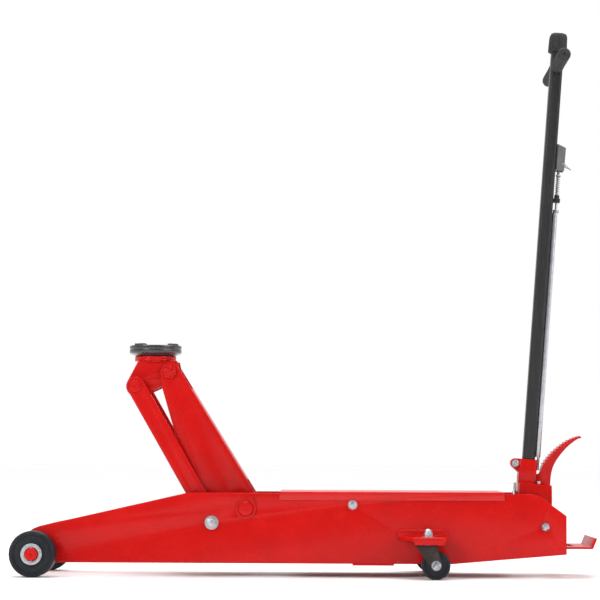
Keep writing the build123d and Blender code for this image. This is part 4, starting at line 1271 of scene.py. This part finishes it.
@dataclass
class LiftArm:
    """The lift arm, its pivot shaft and the radius links beside it."""

    shop: Workshop
    pivot: tuple[float, float] = (-140.5, 163.5)
    tab_screw: tuple[float, float] = (-127.0, 186.5)
    plate_outer: float = 106.0
    shaft_end: float = 117.0
    shaft_radius: float = 17.0
    link_pivot: tuple[float, float] = (-222.5, 129.5)
    tip: tuple[float, float] = (-330.5, 492.59)
    arm_outer: float = 52.0
    arm_inner: float = 44.0
    raised: float = 60.0

    def point(self, place: tuple[float, float], y: float) -> Vector:
        """A point at an X and Z and a distance from the jack's middle, in metres."""
        return Vector((place[0], y, place[1])) * MM

    def on_arm(self, along: float, across: float, y: float) -> Vector:
        """Find a point on the raised arm.

        Args:
            along: the distance from the pivot towards the tip, in millimetres.
            across: the distance towards the arm's back.
            y: the distance from the jack's middle.

        Returns:
            The point, in metres.
        """
        turn = math.radians(self.raised)
        x = self.pivot[0] - along * math.cos(turn) + across * math.sin(turn)
        z = self.pivot[1] + along * math.sin(turn) + across * math.cos(turn)
        return Vector((x, y, z)) * MM

    def plates(self) -> None:
        """Dress the arm's plates and the links."""
        for node, width in (
            ("arm_plate_left", 1.2), ("arm_plate_right", 1.2), ("arm_back_plate", 1.4),
            ("arm_cross_tubes", 0.8), ("radius_link_left", 1.4), ("radius_link_right", 1.4),
            ("pivot_lock_tabs", 0.6),
        ):
            self.shop.round_over(node, Coat.RED, width, 3)
        self.shop.round_over("drive_pin", Coat.STEEL, 0.4)
        self.shop.round_over("pivot_spacers", Coat.STEEL, 0.5)

    def arm_welds(self) -> None:
        """Lay the beads under the arm's back plate, and round the ends of its tubes."""
        beads = []
        for _, sign in SIDES:
            y = sign * (self.arm_inner - 0.8)
            start, end = self.on_arm(66.0, 28.0, y), self.on_arm(316.0, 19.9, y)
            beads.append(bead("back_bead", start, end, 2.6))
            for place, radius in (((0.0, 0.0), 26.8), ((215.0, -42.0), 17.8)):
                centre = self.on_arm(*place, sign * (self.arm_inner - 1.0))
                beads.append(ring_bead("tube_bead", centre, ACROSS, radius, 2.4))
        self.shop.fit(joined("arm_weld_beads", beads), "lift_arm", Coat.RED)

    def pivot_shaft(self) -> None:
        """Turn the pivot shaft, with a groove by its chamfer and a grease nipple in one end."""
        end, radius = self.shaft_end, self.shaft_radius
        profile = (
            (0, 4.0), (0, radius - 1.8), (1.8, radius), (5.0, radius), (5.0, radius - 1.2), (7.0, radius - 1.2),
            (7.0, radius), (2 * end - 7, radius), (2 * end - 7, radius - 1.2), (2 * end - 5, radius - 1.2),
            (2 * end - 5, radius), (2 * end - 1.8, radius), (2 * end, radius - 1.8), (2 * end, 4.0),
        )
        shaft = turned("arm_pivot_bar", self.point(self.pivot, -end), ACROSS, profile, 64)
        soften(shaft, 0.35)
        self.shop.fit(shaft, "chassis", Coat.RED, ("arm_pivot_shaft",))
        screws = []
        for _, sign in SIDES:
            out = ACROSS * sign
            seat = self.point(self.tab_screw, sign * (self.plate_outer + 9.0))
            screws.append(hexagon("screw", seat, out, 5.0, 3.2, 15.0))
            nipple = ((0, 3.4), (1.6, 3.4), (1.9, 2.2), (2.8, 2.2), (3.4, 2.8), (4.2, 2.4), (4.6, 1.2))
            screws.append(turned("nipple", self.point(self.pivot, sign * end), out, nipple, 20))
        for screw in screws:
            soften(screw, 0.2)
        self.shop.fit(joined("lock_screws_and_nipples", screws), "chassis", Coat.RED)

    def link_bolts(self) -> None:
        """Model the stub bolts of the links: flange, shank, washer, nut and the thread's end."""
        parts = []
        out = -ACROSS
        base = self.point(self.link_pivot, 0.0)
        shank = (
            (56.7, 12.8), (57.5, 14), (61.7, 14), (61.7, 9), (self.plate_outer, 9),
            *threads(self.plate_outer + 9, self.plate_outer + 14, 9, 2.4), (self.plate_outer + 15, 6.8),
        )
        parts.append(turned("stub", base, out, shank, 48))
        seat = self.plate_outer
        parts.append(turned("washer", base, out, ring_section(seat, seat + 3, 9.2, 16.5, 0.6), 60))
        parts.append(hexagon("nut", base + out * (seat + 3) * MM, out, 13.4, 8.6, 6.0, both=True))
        for part in parts:
            soften(part, 0.3, 2, 36.0)
        bolts = both_sides("link_pivot_bolts", joined("link_pivot_bolts", parts))
        self.shop.fit(bolts, "chassis", Coat.ZINC, ("link_bolts",))

    def tip_bolt(self) -> None:
        """Model the arm's tip bolt: a shank with a slotted castle nut at each end."""
        outer = self.arm_outer
        base = self.point(self.tip, -outer)
        shank = turned("shank", base, ACROSS, ((0, 13.9), (2 * outer, 13.9)), 48)
        nuts = []
        for _, sign in SIDES:
            out = ACROSS * sign
            seat = self.point(self.tip, sign * outer)
            nut = hexagon("nut", seat, out, 17.0, 5.4, 14.0)
            crown = turned("crown", seat + out * 5.4 * MM, out, ((-0.4, 13.4), (2.0, 13.4), (2.5, 12.8)), 48)
            for slot in range(3):
                turn = math.radians(60.0 * slot + 14.0)
                deselect()
                bpy.ops.mesh.primitive_cube_add(
                    size=1.0, location=seat + out * 6.9 * MM, rotation=(0.0, turn, 0.0),
                    scale=(40 * MM, 2.6 * MM, 3.6 * MM),
                )
                combine(crown, bpy.context.active_object, "DIFFERENCE")
            stub = turned("stub", seat, out, [*threads(0.0, 6.6, 10.2, 2.2), (7.2, 8.4)], 36)
            soften(nut, 0.4)
            soften(crown, 0.25)
            soften(stub, 0.0)
            nuts += [nut, crown, stub]
        self.shop.fit(joined("arm_tip_castle_bolt", [shank, *nuts]), "lift_arm", Coat.RED, ("arm_tip_bolt",))

    def build(self) -> None:
        """Build the arm, its pivots and the links."""
        self.plates()
        self.arm_welds()
        self.pivot_shaft()
        self.link_bolts()
        self.tip_bolt()


@dataclass
class SaddleHead:
    """The bracket at the arm's tip, its collar and the cast saddle that swivels in it."""

    shop: Workshop
    saddle_x: float = -370.5
    tip_z: float = 492.59
    link_tip: tuple[float, float] = (-412.5, 458.59)
    collar_radius: float = 51.0
    bracket_outer: float = 42.0
    lug_angle: float = 54.0
    lug_half: float = 13.5
    lug_rise: float = 2.6
    pad_rise: float = 1.4
    corners: int = 120

    def base(self) -> Vector:
        """The point on the saddle's axis at the height of the arm's tip, in metres."""
        return Vector((self.saddle_x, 0.0, self.tip_z)) * MM

    def bracket(self) -> None:
        """Dress the bracket plates and turn the collar, with its flange line and its welds."""
        for side, _ in SIDES:
            self.shop.round_over(f"bracket_plate_{side}", Coat.RED, 1.2, 3)
        rim = self.collar_radius
        profile = (
            (-2, 16.1), (-2, 23), (-1, 24), (28, 24), (28, rim - 1.4), (29.4, rim), (33.2, rim),
            (33.6, rim - 0.9), (34.6, rim - 0.9), (35.0, rim), (38.6, rim), (40, rim - 1.4), (40, 17.4),
            (38.8, 16.1), (-2, 16.1),
        )
        collar = turned("saddle_collar_turned", self.base(), UP, profile, 96)
        soften(collar, 0.5, 2)
        self.shop.fit(collar, "saddle_bracket", Coat.RED, ("saddle_collar",))
        beads = []
        for _, sign in SIDES:
            for y in (self.bracket_outer + 1.0, 33.0):
                half = math.sqrt(rim**2 - (y + 4.0) ** 2) - 2.0
                middle = self.base() + (ACROSS * (sign * y) + UP * 26.8) * MM
                beads.append(bead("bracket_bead", middle - ALONG * half * MM, middle + ALONG * half * MM, 2.8))
        self.shop.fit(joined("bracket_weld_beads", beads), "saddle_bracket", Coat.RED)

    def link_pin(self) -> None:
        """Turn the pin through the bracket and both links, with its shoulders and end rings."""
        base = Vector((self.link_tip[0], 0.0, self.link_tip[1])) * MM
        profile = [(0, 12), (42.0, 12), (42.0, 15.4), (42.6, 16), (61.1, 16), (61.7, 15.4), (61.7, 12)]
        profile += [(72.3, 12), (72.3, 15.1), (72.7, 15.5), (73.7, 15.5), (74.1, 15.1), (74.1, 12)]
        profile += [(75.4, 12), (76.5, 10.9), (76.5, 4.0), (75.2, 3.0)]
        half = turned("link_tip_bar", base, -ACROSS, profile, 56)
        soften(half, 0.3, 2)
        self.shop.fit(both_sides("link_tip_turned_pin", half), "saddle_bracket", Coat.RED, ("link_tip_pin",))

    def lug_turn(self, middle: Vector) -> float:
        """Find how far a point round the saddle lies from its nearest lug.

        Args:
            middle: the point, in metres.

        Returns:
            The angle, in degrees, from -45 to 45.
        """
        turn = math.degrees(math.atan2(middle.y, middle.x - self.saddle_x * MM))
        return (turn - self.lug_angle + 45.0) % 90.0 - 45.0

    def saddle(self) -> None:
        """Model the cast saddle: a dished disc on a stem, with four lugs raised from its rim."""
        profile = (
            (-6, 14.4), (-4.4, 15.9), (40.3, 15.9), (40.3, 48.4), (41.0, 49.8), (43.6, 53.0), (44.6, 55.0),
            (46.4, 61.0), (47.6, 62.8), (50.0, 64), (56.4, 64), (57.0, 63.2), (58.6, 63.2), (59.2, 64),
            (65.4, 64), (67, 62.4), (67, 47.6), (65.6, 46), (58.2, 43.6), (57, 42.2), (57, 31), (56.1, 30.2),
            (56.1, 28.2), (57, 27.4), (57, 0.0),
        )
        saddle = turned("cast_saddle", self.base(), UP, profile, self.corners)
        top = (self.tip_z + 67) * MM
        low, high = 47.6 * MM, 62.4 * MM
        axis = self.base()

        def on_rim(middle: Vector, normal: Vector, height: float) -> bool:
            """Say whether a face lies level on the rim at this height.

            Args:
                middle: the face's middle, in metres.
                normal: its normal.
                height: the rim's height, in metres.

            Returns:
                Whether it does.
            """
            reach = math.hypot(middle.x - axis.x, middle.y - axis.y)
            return normal.z > 0.9 and abs(middle.z - height) < 2e-5 and low < reach < high

        start_edit(saddle)
        pick_faces(saddle, lambda m, n: on_rim(m, n, top) and abs(self.lug_turn(m)) < self.lug_half)
        bpy.ops.mesh.extrude_region_move(TRANSFORM_OT_translate={"value": UP * self.lug_rise * MM})
        raised = top + self.lug_rise * MM
        pick_faces(
            saddle,
            lambda m, n: on_rim(m, n, raised) and round((self.lug_turn(m) + self.lug_half) // 3.0) % 3 != 2,
        )
        bpy.ops.mesh.extrude_region_move(TRANSFORM_OT_translate={"value": UP * self.pad_rise * MM})
        end_edit()
        clean(saddle)
        soften(saddle, 0.55, 3, 30.0)
        self.shop.fit(saddle, "saddle", Coat.SADDLE, ("saddle",))

    def build(self) -> None:
        """Build the bracket, its pins and the saddle."""
        self.bracket()
        self.link_pin()
        self.saddle()


# ======================= hydraulics =======================


@dataclass
class Hydraulics:
    """The ram, its cylinder, the pump block and the pump's plunger."""

    shop: Workshop
    ram_z: float = 86.0
    plunger_z: float = 99.0
    block_rear: float = 505.0
    plunger_face: float = 557.0
    stroke: float = 31.6

    def body_parts(self) -> None:
        """Dress the castings and the turned parts."""
        for node, coat, width in (
            ("pump_block", Coat.RED, 1.6), ("cylinder_tube", Coat.RED, 0.6), ("cylinder_head", Coat.STEEL, 0.8),
            ("valve_and_plugs", Coat.ZINC, 0.6), ("ram_rod", Coat.CHROME, 0.5), ("drive_fork", Coat.STEEL, 1.2),
            ("pump_plunger", Coat.STEEL, 0.5),
        ):
            self.shop.round_over(node, coat, width)

    def beads(self) -> None:
        """Weld the cylinder tube to the pump block."""
        centre = Vector((392.5, 0.0, self.ram_z)) * MM
        ring = ring_bead("tube_weld_ring", centre - ALONG * 1.2 * MM, ALONG, 48.0, 3.2)
        self.shop.fit(ring, "chassis", Coat.RED)

    def spring(self) -> None:
        """Wind the plunger's return spring, at one length; the real spring shortens as the plunger goes in."""
        start, end = self.block_rear + 0.2, self.plunger_face - 4.2
        base = Vector((start, 0.0, self.plunger_z)) * MM
        spring = coil("plunger_coil", base, ALONG, 11.8, 1.3, end - start, 6)
        self.shop.fit(spring, "chassis", Coat.SPRING, ("plunger_spring",))
        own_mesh(spring)

    def build(self) -> None:
        """Build the hydraulic unit."""
        self.body_parts()
        self.beads()
        self.spring()


# ======================= handle =======================


@dataclass
class Handle:
    """The yoke with its pedal, and the pump handle that stands in it."""

    shop: Workshop
    foot: tuple[float, float] = (544.0, 225.0)
    lean: float = 4.38
    yoke: tuple[float, float] = (577.0, 123.0)
    plate_outer: float = 106.0
    clamp: tuple[float, float] = (-32.0, 47.0)
    ear_half: float = 13.0
    cross_bar: float = 1035.5
    bar_radius: float = 11.0
    grip: tuple[float, float] = (22.0, 170.0)
    grip_radius: float = 16.5
    knob: tuple[float, float] = (1074.0, 1122.0)
    knob_size: tuple[float, float] = (45.0, 47.0)
    knob_corner: float = 15.0
    knob_swell: float = 1.1
    tube_half: tuple[float, float] = (15.0, 17.0)

    def axis(self) -> Vector:
        """The direction up the handle."""
        turn = math.radians(self.lean)
        return Vector((math.sin(turn), 0.0, math.cos(turn)))

    def rear(self) -> Vector:
        """The direction across the handle, towards its back."""
        turn = math.radians(self.lean)
        return Vector((math.cos(turn), 0.0, -math.sin(turn)))

    def at(self, x: float, s: float, y: float = 0.0) -> Vector:
        """Find a point on the handle.

        Args:
            x: the distance across it, towards the rear, in millimetres.
            s: the distance up it from its foot.
            y: the distance from the jack's middle.

        Returns:
            The point, in metres.
        """
        foot = Vector((self.foot[0], y, self.foot[1]))
        return (foot + self.rear() * x + self.axis() * s) * MM

    def plates(self) -> None:
        """Dress the yoke, the cam, the pedal, the socket, the tube and the lever's housing."""
        for node, coat, width in (
            ("yoke", Coat.RED, 1.4), ("pump_cam", Coat.STEEL, 0.6), ("foot_pedal", Coat.RED, 0.5),
            ("handle_socket", Coat.RED, 1.0), ("handle_tube", Coat.HANDLE, 0.5),
            ("cross_bar", Coat.HANDLE, 0.6), ("lever_housing", Coat.HOUSING, 0.7),
            ("rod_guide", Coat.HANDLE, 0.5), ("release_lever", Coat.ZINC, 0.5), ("release_rod", Coat.ZINC, 0.3),
        ):
            self.shop.round_over(node, coat, width)

    def pivot_bolt(self) -> None:
        """Model the yoke's pivot bolt: shank, nut, thread's end and painted washer on each side."""
        parts = []
        base = Vector((self.yoke[0], 0.0, self.yoke[1])) * MM
        seat = self.plate_outer
        shank = [(0, 9), (seat + 2, 9), *threads(seat + 7, seat + 9, 6.0, 1.0)]
        parts.append(turned("shank", base, -ACROSS, shank, 40))
        parts.append(hexagon("nut", base - ACROSS * (seat + 2) * MM, -ACROSS, 9.8, 5.6, 4.0))
        for part in parts:
            soften(part, 0.3, 2, 36.0)
        bolts = both_sides("yoke_pivot_hex_bolt", joined("yoke_bolt", parts))
        self.shop.fit(bolts, "chassis", Coat.ZINC, ("yoke_pivot_bolt",))
        section = (
            (seat, 9.2), (seat, 12.5), (seat + 0.4, 13), (seat + 1.6, 13), (seat + 2, 12.5), (seat + 2, 9.2),
            (seat, 9.2),
        )
        washer = turned("washer", base, -ACROSS, section, 48)
        soften(washer, 0.3, 2, 36.0)
        self.shop.fit(both_sides("yoke_pivot_washers", washer), "chassis", Coat.RED)

    def clamp_bolt(self) -> None:
        """Model the socket's clamp bolt and the small crank pins at the yoke's rear."""
        parts = []
        x, s = self.clamp
        length = 2 * self.ear_half
        parts.append(turned("shank", self.at(x, s, -self.ear_half), ACROSS, ((0, 4.9), (length, 4.9)), 24))
        for _, sign in SIDES:
            out = ACROSS * sign
            seat = self.at(x, s, sign * self.ear_half)
            parts.append(turned("washer", seat, out, ring_section(0, 1.2, 5.2, 9.2), 36))
            parts.append(hexagon("hex", seat + out * 1.2 * MM, out, 8.4, 5.2, 10.0))
            pin = ((0, 3.0), (19.6, 3.0), (19.6, 3.6), (20.0, 4.0), (21.4, 4.0), (21.8, 3.4), (21.8, 1.4))
            parts.append(turned("pin", self.at(25.5, 4.6, sign * 15.0), out, pin, 28))
        for part in parts:
            soften(part, 0.25, 2, 36.0)
        self.shop.fit(joined("socket_clamp_bolts", parts), "handle", Coat.ZINC, ("socket_bolts",))

    def grips(self) -> None:
        """Mould the ribbed rubber grips, each with a collar at its inner end and a domed outer end."""
        inner, outer = self.grip
        rim, bore = self.grip_radius, self.bar_radius + 0.1
        length = outer - inner
        profile = [(0, bore), (0, rim - 1.0), (1.0, rim), (4.0, rim), (5.0, rim - 1.2)]
        count = 22
        step = (length - 22.0) / count
        for rib in range(count):
            start = 8.0 + rib * step
            profile += [(start, rim - 1.6), (start + 0.2 * step, rim - 0.5), (start + 0.7 * step, rim - 0.5)]
            profile += [(start + 0.9 * step, rim - 1.6)]
        profile += [(length - 12.0, rim - 0.9), (length - 5.0, rim - 0.7), (length - 2.0, rim - 2.4)]
        profile += [(length - 0.5, rim - 5.6), (length, rim - 9.5), (length, 4.8), (length - 0.5, 4.2)]
        profile += [(length - 2.8, 3.4), (length - 3.0, 0.0)]
        hole = ((0, bore), (length - 4.9, bore))
        hollow = turned("bar_hole", self.at(0.0, self.cross_bar, -inner + 1.0), -ACROSS, hole, 40)
        grip = turned("handle_grip_left", self.at(0.0, self.cross_bar, -inner), -ACROSS, profile[1:], 40)
        combine(grip, hollow, "DIFFERENCE")
        soften(grip, 0.0, angle=50.0)
        self.shop.fit(both_sides("rubber_grips", grip), "handle", Coat.RUBBER, ("handle_grips",))

    def end_knob(self) -> None:
        """Mould the rubber cap: a rounded block with lengthwise flutes and a domed top."""
        low, high = self.knob
        wide, deep = self.knob_size
        turn = self.axis().to_track_quat("Z", "Y")
        deselect()
        bpy.ops.mesh.primitive_plane_add(size=1.0, location=self.at(0.0, low), rotation=turn.to_euler())
        cap = bpy.context.active_object
        cap.name = "ribbed_end_cap"
        sides_along_x = abs((turn @ ALONG).x) > 0.5
        spans = (wide, deep, 1.0) if sides_along_x else (deep, wide, 1.0)
        cap.scale = Vector(spans) * MM / self.knob_swell
        settle(cap)
        start_edit(cap)
        bpy.ops.mesh.select_mode(type="VERT")
        bpy.ops.mesh.select_all(action="SELECT")
        corner = self.knob_corner / self.knob_swell
        bpy.ops.mesh.bevel(affect="VERTICES", offset=corner * MM, segments=7, profile=0.5)
        bpy.ops.mesh.select_mode(type="FACE")
        bpy.ops.mesh.select_all(action="SELECT")
        height = high - low
        stations = [(0.8, 1.05), (2.4, 1.085), (4.5, self.knob_swell), (height - 14.0, 1.06)]
        stations += [(height - 9.0, 1.03), (height - 5.0, 0.97), (height - 2.2, 0.87), (height - 0.6, 0.72)]
        stations.append((height, 0.55))
        along, size = 0.0, 1.0
        for next_along, next_size in stations:
            step = self.axis() * (next_along - along) * MM
            bpy.ops.mesh.extrude_region_move(TRANSFORM_OT_translate={"value": step})
            ratio = next_size / size
            bpy.ops.transform.resize(
                value=(ratio, ratio, 1.0), orient_type="LOCAL", orient_matrix=turn.to_matrix(),
                orient_matrix_type="LOCAL", center_override=self.at(0.0, low + next_along),
            )
            along, size = next_along, next_size
        end_edit()
        clean(cap)
        flutes = []
        for x, y in self.flute_places():
            run = ((-1.0, 2.7), (height - 12.0, 2.7), (height - 9.0, 1.2))
            flutes.append(turned("flute", self.at(x, low, y), self.axis(), run, 14))
        combine(cap, joined("flutes", flutes), "DIFFERENCE")
        soften(cap, 0.3, 2, 34.0)
        self.shop.fit(cap, "handle", Coat.RUBBER, ("end_knob",))

    def flute_places(self) -> list[tuple[float, float]]:
        """List where the cap's lengthwise flutes stand: three on each flat and two round each corner.

        Returns:
            Each flute's distance from the handle's axis, to the rear and across, in millimetres.
        """
        half_x, half_y = self.knob_size[0] / 2 + 0.7, self.knob_size[1] / 2 + 0.7
        corner = self.knob_corner + 0.7
        places = []
        for way in (-1.0, 1.0):
            for side_step in (-7.0, 0.0, 7.0):
                places += [(way * half_x, side_step), (side_step, way * half_y)]
            for other in (-1.0, 1.0):
                for turn in (math.radians(angle) for angle in (29.0, 61.0)):
                    x = half_x - corner + corner * math.cos(turn)
                    places.append((way * x, other * (half_y - corner + corner * math.sin(turn))))
        return places

    def welds(self) -> None:
        """Lay the beads of the cross bar, the socket, the pedal and the lever's housing."""
        tube_x, tube_y = self.tube_half
        beads = []
        for _, sign in SIDES:
            centre = self.at(0.0, self.cross_bar, sign * (tube_y + 0.6))
            beads.append(ring_bead("bar_bead", centre, ACROSS, self.bar_radius + 0.9, 2.0))
            y = sign * 15.0
            start, end = (self.at(tube_x + 0.4, s, y) for s in (779.0, 838.0))
            beads.append(bead("housing_bead", start, end, 1.4))
        self.shop.fit(joined("handle_weld_beads", beads), "handle", Coat.HANDLE)
        foot = []
        for _, sign in SIDES:
            y = sign * 23.4
            foot.append(bead("socket_bead", self.at(-20.0, 0.4, y), self.at(17.0, 0.4, y), 2.2))
            y = sign * 7.4
            foot.append(bead("pedal_bead", self.at(28.4, -33.0, y), self.at(28.4, -2.0, y), 2.2))
        self.shop.fit(joined("yoke_weld_beads", foot), "handle", Coat.RED)

    def release_spring(self) -> None:
        """Wind the release rod's return spring, at one length; the real spring shortens as the rod goes down.
        """
        start, end, travel = 715.2, 763.8, 4.2
        base = self.at(24.0, start)
        spring = coil("release_coil", base, self.axis(), 4.9, 0.8, end - start, 9)
        self.shop.fit(spring, "handle", Coat.SPRING, ("release_spring",))
        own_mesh(spring)

    def build(self) -> None:
        """Build the yoke, the pedal and the whole handle."""
        self.plates()
        self.pivot_bolt()
        self.clamp_bolt()
        self.grips()
        self.end_knob()
        self.welds()
        self.release_spring()


# ======================= studio =======================


@dataclass
class Studio:
    """Pale floor, soft lights and the camera, low and far to the jack's left."""

    eye: tuple[float, float, float] = (0.06, -4.7, 0.297)
    yaw: float = 0.90268
    pitch: float = 4.5943
    roll: float = 0.2292
    lens: float = 114.24
    skylight: float = 1.9
    floor_radius: float = 40.0
    floor_tone: Colour = (0.86, 0.86, 0.86)

    def floor(self) -> None:
        """Lay a wide pale floor with a faint sheen."""
        reach = self.floor_radius / MM
        floor = turned("studio_floor", Vector((0.0, 0.0, -0.02)), UP, ((0, reach), (20.0, reach)), 96)
        recipe = Recipe("pale_floor")
        tone = recipe.mix(recipe.spread(recipe.noise(1.5), 0.3, 0.7), self.floor_tone, (0.84, 0.84, 0.845))
        rough = recipe.spread(recipe.noise(6.0), 0.3, 0.7, 0.55, 0.7)
        floor.data.materials.append(recipe.dress(tone, rough, ((recipe.noise(220.0), 0.05, 0.0001),)))
        floor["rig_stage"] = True

    def air(self) -> None:
        """Light the scene all round with a white sky that is dimmer in front of the jack."""
        world = bpy.data.worlds.new("studio_air")
        bpy.context.scene.world = world
        world.use_nodes = True
        tree = world.node_tree
        tree.nodes.clear()
        output = tree.nodes.new("ShaderNodeOutputWorld")
        seen = tree.nodes.new("ShaderNodeBackground")
        seen.inputs["Color"].default_value = (1.0, 1.0, 1.0, 1.0)
        seen.inputs["Strength"].default_value = 1.0
        light = tree.nodes.new("ShaderNodeBackground")
        direction = tree.nodes.new("ShaderNodeTexCoord")
        split = tree.nodes.new("ShaderNodeSeparateXYZ")
        shade = tree.nodes.new("ShaderNodeMapRange")
        for name, number in (("From Min", -0.9), ("From Max", 0.5), ("To Min", 0.26), ("To Max", 1.0)):
            shade.inputs[name].default_value = number
        path = tree.nodes.new("ShaderNodeLightPath")
        mixed = tree.nodes.new("ShaderNodeMixShader")
        tree.links.new(direction.outputs["Generated"], split.inputs[0])
        tree.links.new(split.outputs["Y"], shade.inputs["Value"])
        tree.links.new(shade.outputs["Result"], light.inputs["Strength"])
        tree.links.new(path.outputs["Is Camera Ray"], mixed.inputs[0])
        tree.links.new(light.outputs[0], mixed.inputs[1])
        tree.links.new(seen.outputs[0], mixed.inputs[2])
        tree.links.new(mixed.outputs[0], output.inputs["Surface"])

    def lights(self) -> None:
        """Hang a key to the left, a fill to the right and one overhead, under an even skylight."""
        for name, place, size, power in (
            ("key_light", (-3.2, -3.4, 2.6), 2.2, 125.0),
            ("fill_light", (3.6, -2.8, 2.2), 2.4, 85.0),
            ("top_light", (0.2, 0.6, 4.2), 3.0, 90.0),
        ):
            aim = Vector((0.0, 0.0, 0.3)) - Vector(place)
            turn = aim.to_track_quat("-Z", "Y").to_euler()
            bpy.ops.object.light_add(type="AREA", location=place, rotation=turn)
            lamp = bpy.context.active_object
            lamp.name = name
            lamp.data.size = size
            lamp.data.energy = power
        bpy.ops.object.light_add(type="SUN", rotation=(math.radians(-6.0), 0.0, 0.0))
        sky = bpy.context.active_object
        sky.name = "even_skylight"
        sky.data.energy = self.skylight
        sky.data.angle = math.radians(75.0)

    def camera(self) -> None:
        """Stand the camera low beside the jack and tilt it up a little, as a long lens would be."""
        yaw, pitch, roll = (math.radians(angle) for angle in (self.yaw, self.pitch, self.roll))
        ahead = Vector((-math.sin(yaw) * math.cos(pitch), math.cos(yaw) * math.cos(pitch), math.sin(pitch)))
        right = Vector((math.cos(yaw), math.sin(yaw), 0.0))
        above = right.cross(ahead)
        rolled_right = right * math.cos(roll) + above * math.sin(roll)
        rolled_above = above * math.cos(roll) - right * math.sin(roll)
        bpy.ops.object.camera_add()
        camera = bpy.context.active_object
        camera.name = "studio_camera"
        camera.data.lens = self.lens
        camera.data.sensor_width = 36.0
        camera.data.clip_start, camera.data.clip_end = 0.1, 200.0
        turn = Matrix((rolled_right, rolled_above, -ahead)).transposed()
        camera.matrix_world = Matrix.Translation(Vector(self.eye)) @ turn.to_4x4()
        bpy.context.scene.camera = camera
        bpy.context.scene.view_settings.view_transform = "Standard"

    def build(self) -> None:
        """Set up the whole studio."""
        self.floor()
        self.air()
        self.lights()
        self.camera()


def note_sizes(after: tuple[Vector, Vector]) -> None:
    """Log the dressed jack's box.

    Args:
        after: the lowest and highest corners of the dressed jack, in metres.
    """
    log.info("box %s to %s", [round(value, 4) for value in after[0]], [round(value, 4) for value in after[1]])


def main() -> None:
    """Load the frame, dress each sub-assembly in order and set up the studio."""
    logging.basicConfig(level=logging.INFO, format="%(name)s %(message)s")
    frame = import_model()
    shop = Workshop(frame)
    for part in (
        Chassis(shop), FrontWheels(shop), Casters(shop), LiftArm(shop), SaddleHead(shop), Hydraulics(shop),
        Handle(shop), Studio(),
    ):
        part.build()
        log.info("%s is done", type(part).__name__)
    deselect()
    note_sizes(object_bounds())


if __name__ == "__main__":
    main()
